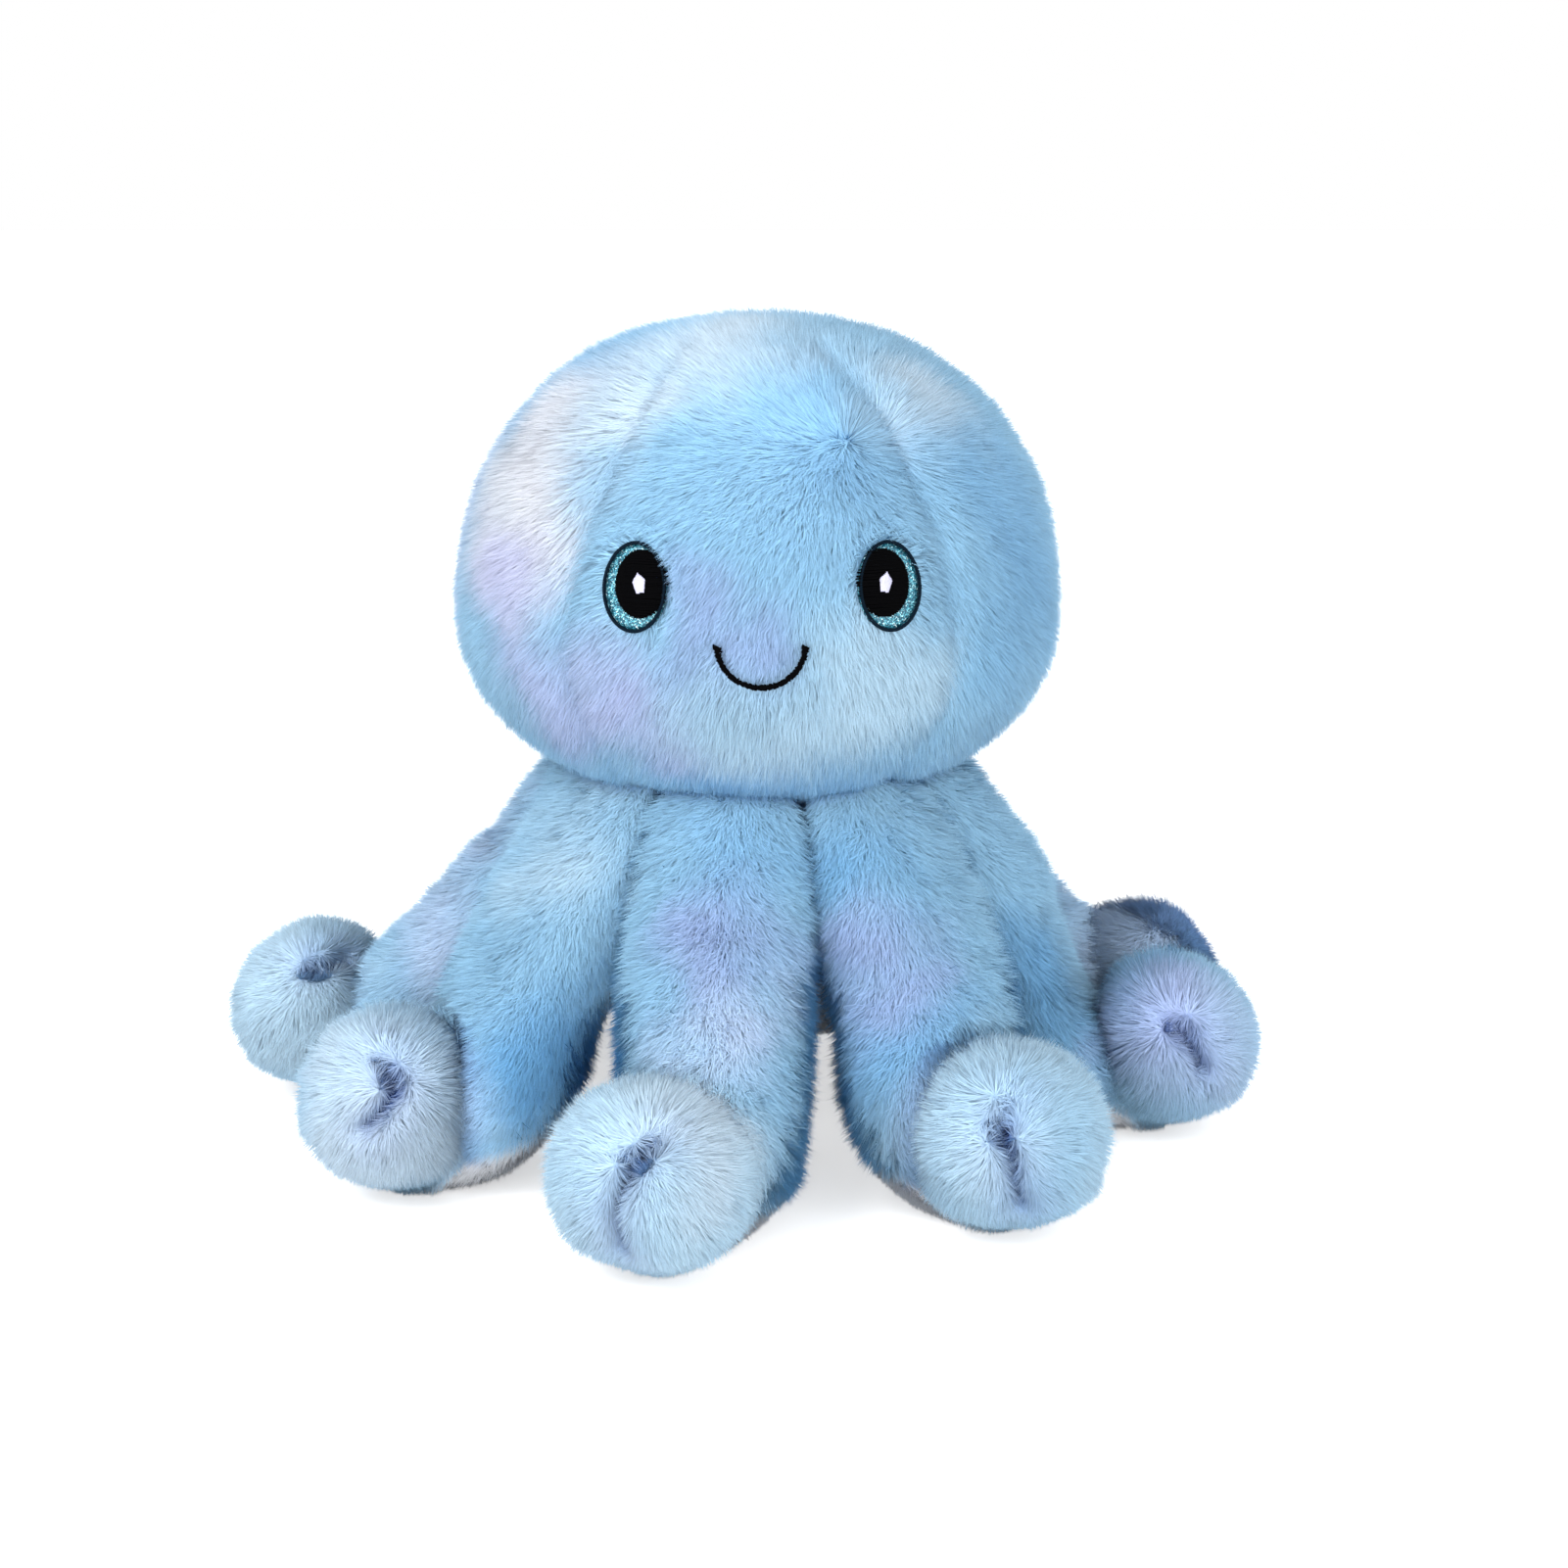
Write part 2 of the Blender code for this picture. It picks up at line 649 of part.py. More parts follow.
def curl(share, reach):
    """Middle line of the rolled end, about the middle of the knob."""
    start = KNOB_RADIUS - FOOT_THICKNESS / 2
    tighten = smooth((share - CURL_TIGHTEN_SHARE) / (1.0 - CURL_TIGHTEN_SHARE))
    radius = mix(start, CURL_END_RADIUS, tighten)
    angle = -math.pi / 2 + CURL_SWEEP * share
    middle = np.array([ROOT_RADIUS + reach, KNOB_RADIUS - FOOT_CUT])
    point = middle + radius * np.array([math.cos(angle), math.sin(angle)])
    return point, np.array([-math.sin(angle), math.cos(angle)])


class Limb:
    """Middle line, widths and thicknesses of one limb."""

    def __init__(self, azimuth, bend, roll, reach):
        self.azimuth = azimuth
        self.bend = bend
        self.roll = azimuth + roll
        self.reach = reach
        self.plan = [outward(azimuth) * ROOT_RADIUS]
        for step in range(PLAN_STEPS):
            heading = outward(self.heading((step + 0.5) / PLAN_STEPS))
            self.plan.append(self.plan[-1] + heading * reach / PLAN_STEPS)

    def heading(self, share):
        turned = smooth(share)
        aside = self.bend * math.sin(math.pi * min(max(share, 0.0), 1.0)) * (1.0 - turned)
        return mix(self.azimuth, self.roll, turned) + aside

    def stations(self, scale=1.0):
        """Rows of point, across, up, half width and half thickness."""
        rows = []
        total = DESCENT_STEPS + CURL_STEPS
        for index in range(total + 1):
            step = index * scale
            if step <= DESCENT_STEPS:
                share = step / DESCENT_STEPS
                point, slope = descent(share, self.reach)
                thick = mix(FOOT_THICKNESS, ROOT_THICKNESS, (1.0 - share) ** TAPER_POWER)
                wide = mix(ROOT_WIDTH, FOOT_WIDTH, smooth(share))
            else:
                share = (step - DESCENT_STEPS) / CURL_STEPS
                point, slope = curl(share, self.reach)
                thick = mix(FOOT_THICKNESS, TIP_THICKNESS, share * share)
                wide = mix(FOOT_WIDTH, TIP_WIDTH, share * share)
            ended = index / total
            if ended > TIP_ROUND_SHARE:
                part = (ended - TIP_ROUND_SHARE) / (1.0 - TIP_ROUND_SHARE)
                closing = math.sqrt(max(1.0 - part * part, 0.0))
            else:
                closing = 1.0
            rows.append((self.lift(point), *self.axes(point, slope), wide / 2, thick / 2,
                         closing))
        return rows

    def lift(self, point):
        """The middle line's point in space."""
        ahead = (point[0] - ROOT_RADIUS) / self.reach * PLAN_STEPS
        index = int(min(max(ahead, 0.0), PLAN_STEPS - 1))
        lifted = mix(self.plan[index], self.plan[index + 1], ahead - index)
        lifted[2] = point[1]
        return lifted

    def axes(self, point, slope):
        """Unit vectors across the limb and out of its upper side."""
        heading = self.heading((point[0] - ROOT_RADIUS) / self.reach)
        up = outward(heading) * -slope[1]
        up[2] = slope[0]
        return across(heading), up


def section_row(station, angles, inset, seam, spare=0.0):
    """Points round one section: inset follows the rounded tip, spare doesn't."""
    point, side, up, wide, thick, closing = station
    half_width = max((wide - inset) * closing - spare, 0.0)
    half_height = max((thick - inset) * closing - spare, 0.0)
    row = []
    for angle in angles:
        reach, rise = section_curve(angle)
        row.append(point + side * reach * half_width + up * (rise * half_height + seam))
    return row


def limb_panel(limb, upper):
    """Half of a limb's cover, above or below its side seams."""
    start = 0.0 if upper else -math.pi
    angles = [start + math.pi * side / PANEL_SIDES for side in range(PANEL_SIDES + 1)]
    seam = (SEAM_GAP if upper else -SEAM_GAP) / 2
    outer = [section_row(row, angles, 0.0, seam) for row in limb.stations()]
    inner = [section_row(row, angles, LIMB_PILE, seam)
             for row in limb.stations(FILLING_END_SHARE)]
    return shell_patch(outer, inner)


def limb_filling(limb):
    count = 2 * PANEL_SIDES
    angles = [2 * math.pi * side / count for side in range(count)]
    rows = [section_row(row, angles, LIMB_PILE, 0.0, SEAM_GAP)
            for row in limb.stations(FILLING_END_SHARE)]
    return ring_solid(rows[:-1])


def least_curl_gap(limb):
    """Least distance on points between the descent and the end of the curl."""
    count = 2 * PANEL_SIDES
    angles = [2 * math.pi * side / count for side in range(count)]
    rows = [section_row(row, angles, 0.0, 0.0) for row in limb.stations()]
    first = np.array(rows[:DESCENT_STEPS + 2]).reshape(-1, 3)
    last = np.array(rows[-CURL_STEPS // 2:]).reshape(-1, 3)
    return np.linalg.norm(first[:, None] - last[None, :], axis=2).min()


def build_limb(index):
    azimuth = FIRST_LIMB + index * LIMB_STEP
    limb = Limb(azimuth, *LIMBS[index])
    at = place(HINGE_RADIUS, azimuth, HINGE_HEIGHT)
    hinge = pivot("arm_%d_hinge" % (index + 1), at)
    pieces = (
        ("top_panel", limb_panel(limb, True), BLUE_PILE),
        ("underside_panel", limb_panel(limb, False), WHITE_PILE),
        ("filling", limb_filling(limb), FILLING_WHITE),
    )
    for name, mesh, colour in pieces:
        geometry = mesh.verts[:] + mesh.edges[:] + mesh.faces[:]
        cut = bmesh.ops.bisect_plane(mesh, geom=geometry, plane_co=Vector((0.0, 0.0, 0.0)),
                                     plane_no=Vector((0.0, 0.0, -1.0)), clear_outer=True)
        rim = [part for part in cut["geom_cut"] if isinstance(part, bmesh.types.BMEdge)]
        if rim:
            bmesh.ops.triangle_fill(mesh, edges=rim, use_beauty=True)
        add_solid("arm_%d_%s" % (index + 1, name), mesh, (colour, ROUGH_PILE), hinge, at)
    print("arm", index + 1, "least gap of its curl in metres", round(least_curl_gap(limb), 5))


def build():
    clear_scene()
    build_body()
    build_skirt()
    build_head()
    for index in range(LIMB_COUNT):
        build_limb(index)


build()
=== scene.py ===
import math

import bmesh
import bpy
import numpy as np
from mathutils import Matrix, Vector, noise
from mathutils.bvhtree import BVHTree


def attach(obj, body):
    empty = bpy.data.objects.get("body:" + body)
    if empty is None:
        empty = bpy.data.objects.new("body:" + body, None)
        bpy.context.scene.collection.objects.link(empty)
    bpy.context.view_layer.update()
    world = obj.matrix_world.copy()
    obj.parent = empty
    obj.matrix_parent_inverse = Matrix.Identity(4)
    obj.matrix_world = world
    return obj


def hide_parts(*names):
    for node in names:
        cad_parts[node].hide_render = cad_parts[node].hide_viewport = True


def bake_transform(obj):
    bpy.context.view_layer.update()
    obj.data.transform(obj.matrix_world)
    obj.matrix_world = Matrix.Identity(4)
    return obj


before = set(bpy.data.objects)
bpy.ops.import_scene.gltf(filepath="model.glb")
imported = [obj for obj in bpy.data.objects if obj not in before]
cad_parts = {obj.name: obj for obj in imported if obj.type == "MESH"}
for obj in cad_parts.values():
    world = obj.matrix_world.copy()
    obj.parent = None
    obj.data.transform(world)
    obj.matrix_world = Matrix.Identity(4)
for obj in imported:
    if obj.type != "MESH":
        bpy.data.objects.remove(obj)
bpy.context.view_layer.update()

mm = 0.001

# Small helpers


def linear(hexColour):
    # sRGB hex to linear
    parts = [int(hexColour[i:i + 2], 16) / 255 for i in (1, 3, 5)]
    return tuple(c / 12.92 if c <= 0.04045 else ((c + 0.055) / 1.055) ** 2.4 for c in parts)


def addNode(tree, kind, settings=None, links=None):
    # settings fill the node's own options, links fill its sockets with a value, another socket
    # or a node's first socket
    node = tree.nodes.new(kind)
    for key, value in (settings or {}).items():
        setattr(node, key, value)
    for key, value in (links or {}).items():
        socket = node.inputs[key]
        if isinstance(value, bpy.types.Node):
            value = value.outputs[0]
        if isinstance(value, bpy.types.NodeSocket):
            tree.links.new(value, socket)
        else:
            socket.default_value = value
    return node


def newMaterial(name, values):
    # material whose shader's sockets have these values
    made = bpy.data.materials.new(name)
    made.use_nodes = True
    shader = made.node_tree.nodes["Principled BSDF"]
    for key, value in values.items():
        shader.inputs[key].default_value = value
    return made, made.node_tree, shader


def smooth(share):
    share = np.clip(share, 0.0, 1.0)
    return share * share * (3.0 - 2.0 * share)


def mix(first, second, share):
    return first + (second - first) * share


def outward(azimuth):
    return np.array([math.sin(azimuth), -math.cos(azimuth), 0.0])


def across(azimuth):
    return np.array([math.cos(azimuth), math.sin(azimuth), 0.0])


def unit(vectors):
    return vectors / np.maximum(np.linalg.norm(vectors, axis=-1, keepdims=True), 1e-9)


def newObject(name, points, faces):
    mesh = bpy.data.meshes.new(name)
    mesh.from_pydata([tuple(p) for p in points], [], [tuple(f) for f in faces])
    mesh.validate()
    mesh.shade_smooth()
    item = bpy.data.objects.new(name, mesh)
    bpy.context.scene.collection.objects.link(item)
    return item


def pointsOf(item):
    points = np.empty(len(item.data.vertices) * 3)
    item.data.vertices.foreach_get("co", points)
    return points.reshape(-1, 3)


def normalsOf(item):
    normals = np.empty(len(item.data.vertices) * 3)
    item.data.vertices.foreach_get("normal", normals)
    return normals.reshape(-1, 3)


def setPoints(item, points):
    item.data.vertices.foreach_set("co", points.astype(np.float32).ravel())
    item.data.update()


def setAttribute(item, name, kind, values):
    attribute = item.data.attributes.new(name, kind, "POINT")
    key = {"FLOAT": "value", "FLOAT_VECTOR": "vector", "FLOAT_COLOR": "color"}[kind]
    attribute.data.foreach_set(key, values.astype(np.float32).ravel())


def band(low, high, count):
    # faces between two rings of points
    return [(low + k, high + k, high + (k + 1) % count, low + (k + 1) % count)
            for k in range(count)]


def gridRing(rows):
    # closed skin over rings of points, with a flat cap at each end
    count = len(rows[0])
    points = np.concatenate(rows)
    faces = []
    for row in range(len(rows) - 1):
        faces += [face[:1] + face[:0:-1] for face in band(row * count, (row + 1) * count, count)]
    faces.append(tuple(range(count))[::-1])
    faces.append(tuple(range(len(points) - count, len(points))))
    return points, faces


def facesOut(item):
    mesh = bmesh.new()
    mesh.from_mesh(item.data)
    bmesh.ops.recalc_face_normals(mesh, faces=mesh.faces)
    mesh.to_mesh(item.data)
    mesh.free()


def applyModifiers(item):
    graph = bpy.context.evaluated_depsgraph_get()
    graph.update()
    mesh = bpy.data.meshes.new_from_object(item.evaluated_get(graph))
    item.modifiers.clear()
    item.data = mesh
    mesh.name = item.name


def remeshed(item, voxel, rounds):
    # one smooth skin round everything that the item holds
    remesh = item.modifiers.new("remesh", "REMESH")
    remesh.mode = "VOXEL"
    remesh.voxel_size = voxel
    soften = item.modifiers.new("smooth", "SMOOTH")
    soften.factor = 0.5
    soften.iterations = rounds
    applyModifiers(item)
    item.data.shade_smooth()


def newGroup(name, numbers):
    # node group that takes a skin, named numbers and a material, and gives the skin back
    tree = bpy.data.node_groups.new(name, "GeometryNodeTree")
    kinds = {"skin": "Geometry", **dict.fromkeys(numbers, "Float"), "seed": "Int",
             "finish": "Material"}
    for title, kind in kinds.items():
        tree.interface.new_socket(title, in_out="INPUT", socket_type="NodeSocket" + kind)
    tree.interface.new_socket("skin", in_out="OUTPUT", socket_type="NodeSocketGeometry")
    return tree, addNode(tree, "NodeGroupInput").outputs


def applyGroup(item, group, values):
    made = item.modifiers.new("nodes", "NODES")
    made.node_group = group
    for socket in group.interface.items_tree:
        if socket.in_out == "INPUT" and socket.name in values:
            made[socket.identifier] = values[socket.name]
    applyModifiers(item)


def skinTree(item):
    # for nearness to this skin
    return BVHTree.FromPolygons([v.co.copy() for v in item.data.vertices],
                                [tuple(f.vertices) for f in item.data.polygons])


def nearness(points, tree, reach):
    # distance of each point from a skin, below 0 inside it and at most reach
    apart = np.full(len(points), reach)
    for index, point in enumerate(points):
        place, normal, _, away = tree.find_nearest(Vector(point), reach)
        if place is not None:
            inside = (Vector(point) - place).dot(normal) < 0
            apart[index] = -away if inside else away
    return apart


def wobble(points, scale, seed):
    # smooth noise vectors, one for each point; noise_vector differs from run to run
    shifts = [Vector((seed * 7.3 + k * 31.7, seed * 3.1 + k * 17.9, seed * 5.7 - k * 23.3))
              for k in range(3)]
    scaled = [Vector(p) * scale for p in points]
    return np.array([[noise.noise(p + shift) for shift in shifts] for p in scaled])


# Camera, light, floor

view = {
    "eye": (0.0148, -0.7973, 0.298),
    "pitch": 13.8,
    "lens": 63.55,
    "sensor": 36.0,
    "floorSize": 6.0,
    "floorColour": "#f4f4f4",
    "floorGlow": 0.50,
    "keyPower": 15.5,
    "fillPower": 7.0,
    "frontPower": 13.5,
    "skyStrength": 1.14,
}

cameraData = bpy.data.cameras.new("camera")
cameraData.sensor_width = view["sensor"]
cameraData.lens = view["lens"]
cameraData.clip_start = 0.05
cameraData.clip_end = 30.0
camera = bpy.data.objects.new("camera", cameraData)
camera.location = view["eye"]
camera.rotation_euler = (math.radians(90.0 - view["pitch"]), 0.0, 0.0)
bpy.context.scene.collection.objects.link(camera)
bpy.context.scene.camera = camera
bpy.context.scene.view_settings.view_transform = "Standard"


def whiteToCamera(tree, strength):
    # strength where the camera, a reflection or glass looks, and none for other rays
    path = addNode(tree, "ShaderNodeLightPath")
    first = addNode(tree, "ShaderNodeMath", {"operation": "MAXIMUM"},
                    {0: path.outputs["Is Camera Ray"], 1: path.outputs["Is Glossy Ray"]})
    seen = addNode(tree, "ShaderNodeMath", {"operation": "MAXIMUM"},
                   {0: first, 1: path.outputs["Is Transmission Ray"]})
    return addNode(tree, "ShaderNodeMath", {"operation": "MULTIPLY"}, {0: seen, 1: strength})


world = bpy.data.worlds.new("studio")
world.use_nodes = True
bpy.context.scene.world = world
worldTree = world.node_tree
worldTree.nodes.clear()
seen = whiteToCamera(worldTree, 1.0 - view["skyStrength"])
strength = addNode(worldTree, "ShaderNodeMath", {"operation": "ADD"},
                   {0: seen, 1: view["skyStrength"]})
sky = addNode(worldTree, "ShaderNodeBackground", None,
              {"Color": (1.0, 1.0, 1.0, 1.0), "Strength": strength})
addNode(worldTree, "ShaderNodeOutputWorld", None, {"Surface": sky})

# Matt paper sweep: white where nothing shades it, and it keeps the toy's soft shadow
floorMaterial, floorTree, floorShader = newMaterial("mattPaper", {
    "Base Color": (*linear(view["floorColour"]), 1.0), "Roughness": 0.9,
    "Emission Color": (1.0, 1.0, 1.0, 1.0)})
floorTree.links.new(whiteToCamera(floorTree, view["floorGlow"]).outputs[0],
                    floorShader.inputs["Emission Strength"])
half = view["floorSize"]
floor = newObject("floor", [(-half, -half, 0), (half, -half, 0), (half, half, 0),
                            (-half, half, 0)], [(0, 1, 2, 3)])
floor.data.materials.append(floorMaterial)


def softLamp(name, place, target, size, power):
    data = bpy.data.lights.new(name, "AREA")
    data.shape = "DISK"
    data.size = size
    data.energy = power
    lamp = bpy.data.objects.new(name, data)
    lamp.location = place
    aim = Vector(target) - Vector(place)
    lamp.rotation_euler = aim.to_track_quat("-Z", "Y").to_euler()
    bpy.context.scene.collection.objects.link(lamp)


softLamp("keyLamp", (-0.75, -0.85, 1.15), (0, 0, 0.1), 0.9, view["keyPower"])
softLamp("fillLamp", (0.95, -0.9, 0.6), (0, 0, 0.1), 1.2, view["fillPower"])
softLamp("frontLamp", (-0.35, -1.4, 0.22), (0, 0, 0.08), 1.2, view["frontPower"])
print("camera, light and floor are set")

# Tie-dyed pile

# Long polyester pile, tie-dyed: the dyes, then each dab's centre and radius in millimetres
# in the toy's frame, its bath and how strongly it takes; a few dabs are partly painted shade.
dyeAndShade = {
    "baths": {
        "sky": "#8bbde3",
        "pool": "#79aedd",
        "deep": "#5f98cf",
        "ice": "#b9dbf3",
        "milk": "#e6ebfc",
        "frost": "#c8e0fb",
        "lilac": "#adb5e8",
        "mauve": "#c4c9f2",
        "pearl": "#b2cdf6",
        "iris": "#8c9dd4",
    },
    "ground": "sky",
    "dabs": [
        ((12, -72, 207), 38, "pool", 0.3),
        ((30, -62, 214), 26, "pool", 0.6),
        ((-50, -40, 212), 34, "milk", 1.0),
        ((-28, -45, 225), 20, "frost", 0.9),
        ((-62, -46, 191), 28, "milk", 0.95),
        ((-64, -51, 175), 22, "mauve", 0.9),
        ((-24, -78, 143), 24, "lilac", 0.75),
        ((-49, -63, 148), 24, "lilac", 0.7),
        # darker at the nose, partly painted shade of the dent there
        ((4, -86, 171), 20, "iris", 0.8),
        ((-2, -30, 237), 34, "frost", 0.9),
        ((-45, 0, 228), 34, "pool", 0.6),
        ((52, -44, 219), 20, "frost", 0.9),
        ((71, -42, 200), 26, "pool", 0.8),
        # deeper on the side away from the key lamp, partly painted shade of that side
        ((83, -43, 168), 34, "deep", 0.5),
        ((41, -80, 150), 26, "ice", 0.8),
        ((10, -81, 132), 26, "ice", 0.75),
        ((-80, 15, 185), 38, "mauve", 0.7),
        ((7, 70, 215), 40, "ice", 0.8),
        ((45, 68, 172), 32, "mauve", 0.8),
        ((-40, 70, 165), 34, "milk", 0.8),
        ((65, 50, 130), 28, "pool", 0.8),
        # limbs
        ((-51, -49, 97), 24, "ice", 0.7),
        ((-56, -60, 72), 22, "sky", 0.9),
        # deep beside this roll: dyed, and partly painted shade where limb and roll meet
        ((-50, -74, 45), 28, "deep", 0.95),
        ((-86, -7, 56), 24, "pearl", 0.95),
        ((-76, 2, 90), 20, "pearl", 0.8),
        ((-112, -8, 40), 16, "pool", 0.6),
        ((-132, 5, 34), 32, "ice", 0.9),
        ((-97, -86, 32), 33, "frost", 0.9),
        ((-90, -112, 34), 16, "mauve", 0.6),
        ((-1, -68, 108), 24, "pool", 0.9),
        ((-1, -84, 81), 21, "iris", 0.75),
        ((-1, -96, 60), 19, "pearl", 1.0),
        ((-18, -128, 32), 35, "ice", 1.0),
        ((-3, -134, 46), 18, "frost", 1.0),
        ((33, -65, 104), 22, "deep", 0.7),
        ((38, -78, 76), 22, "iris", 0.75),
        # deep beside this roll: dyed, and partly painted shade where limb and roll meet
        ((52, -84, 50), 20, "deep", 0.75),
        ((73, -98, 30), 34, "ice", 1.0),
        ((74, -32, 92), 26, "sky", 0.9),
        ((86, -38, 52), 26, "deep", 0.85),
        # deep beside this roll: dyed, and partly painted shade where limb and roll meet
        ((115, -22, 42), 22, "deep", 0.6),
        ((126, -40, 44), 24, "lilac", 0.7),
        ((142, -26, 24), 24, "pearl", 0.7),
        ((140, -10, 20), 18, "sky", 0.6),
        ((124, 40, 44), 34, "pearl", 0.9),
        ((62, 50, 90), 30, "pool", 0.8),
        ((24, 130, 30), 34, "ice", 0.9),
        ((12, 70, 85), 26, "iris", 0.7),
        ((-66, 110, 30), 34, "ice", 0.9),
        ((-46, 55, 85), 26, "sky", 0.8),
    ],
    "white": "#e9edf4",
    # colour of the painted shade in the slits and creases of the limbs
    "shadow": "#1d3c96",
    "wobble": 13.0,
    "edge": 0.20,
    # single fibres are paler and brighter than the pile that they make
    "lift": 0.735,
    "vivid": 1.17,
}


def fibreColour(hexColour):
    # colour of one fibre, for the colour that its pile shows
    colour = np.array(linear(hexColour))
    grey = colour @ np.array([0.21, 0.72, 0.07])
    return np.clip(grey + (colour - grey) * dyeAndShade["vivid"], 0.0, 0.94) ** dyeAndShade["lift"]


def dyedAndShaded(points):
    # colour of the pile at each point, from the dabs, a few of which are partly painted shade
    at = (points + axis) / mm
    at = at + wobble(at, 0.045, 3) * dyeAndShade["wobble"] + wobble(at, 0.12, 6) * 3.0
    colours = np.tile(fibreColour(dyeAndShade["baths"][dyeAndShade["ground"]]), (len(points), 1))
    for centre, radius, bath, strength in dyeAndShade["dabs"]:
        away = np.linalg.norm(at - np.array(centre, float), axis=1) / radius
        share = strength * (1.0 - smooth((away - dyeAndShade["edge"]) / (1.3 - dyeAndShade["edge"])))
        colours = mix(colours, fibreColour(dyeAndShade["baths"][bath]), share[:, None])
    return colours


def pileMaterial(name, paintedRootShade, paintedTipLight, roughness):
    made, tree, shader = newMaterial(name, {"Roughness": roughness, "Specular IOR Level": 0.15,
                                            "Sheen Weight": 0.04, "Sheen Roughness": 0.45})
    tint, along, shade = [addNode(tree, "ShaderNodeAttribute", {"attribute_name": title})
                          for title in ("dyeAndShade", "along", "shade")]
    # roots and bare skin are painted darker as shade in the pile, tips paler as painted light;
    # each fibre differs a little
    depth = addNode(tree, "ShaderNodeMapRange", None,
                    {"Value": along.outputs["Fac"], "To Min": paintedRootShade, "To Max": paintedTipLight})
    place = addNode(tree, "ShaderNodeTexCoord")
    mottle = addNode(tree, "ShaderNodeTexNoise", {"noise_dimensions": "3D"},
                     {"Vector": place.outputs["Object"], "Scale": 160.0, "Detail": 2.0})
    mottled = addNode(tree, "ShaderNodeMapRange", None,
                      {"Value": mottle.outputs["Fac"], "To Min": 0.93, "To Max": 1.07})
    fibre = addNode(tree, "ShaderNodeMapRange", None,
                    {"Value": shade.outputs["Fac"], "To Min": 0.84, "To Max": 1.12})
    factor = addNode(tree, "ShaderNodeMath", {"operation": "MULTIPLY"},
                     {0: depth, 1: fibre})
    factor = addNode(tree, "ShaderNodeMath", {"operation": "MULTIPLY"},
                     {0: factor, 1: mottled})
    shine = addNode(tree, "ShaderNodeHueSaturation", None,
                    {"Color": tint.outputs["Color"], "Value": factor})
    tree.links.new(shine.outputs["Color"], shader.inputs["Base Color"])
    return made


# Soft dull fibres, with painted shade at their roots and painted light at their tips
longPile = pileMaterial("longPolyesterPile", 0.82, 1.1, 0.85)

pile = {
    "density": 6.8e6,       # fibres in a square metre, each drawn about as wide as a few real ones
    "width": 0.44 * mm,
    "tuftScale": 130.0,
    "tuft": 0.23,
    "strandScale": 480.0,
    "strand": 0.33,
    "frizz": 0.40,
    "texel": 0.0006,        # size of a fibre in the skin's own map
    "seed": 5,
}


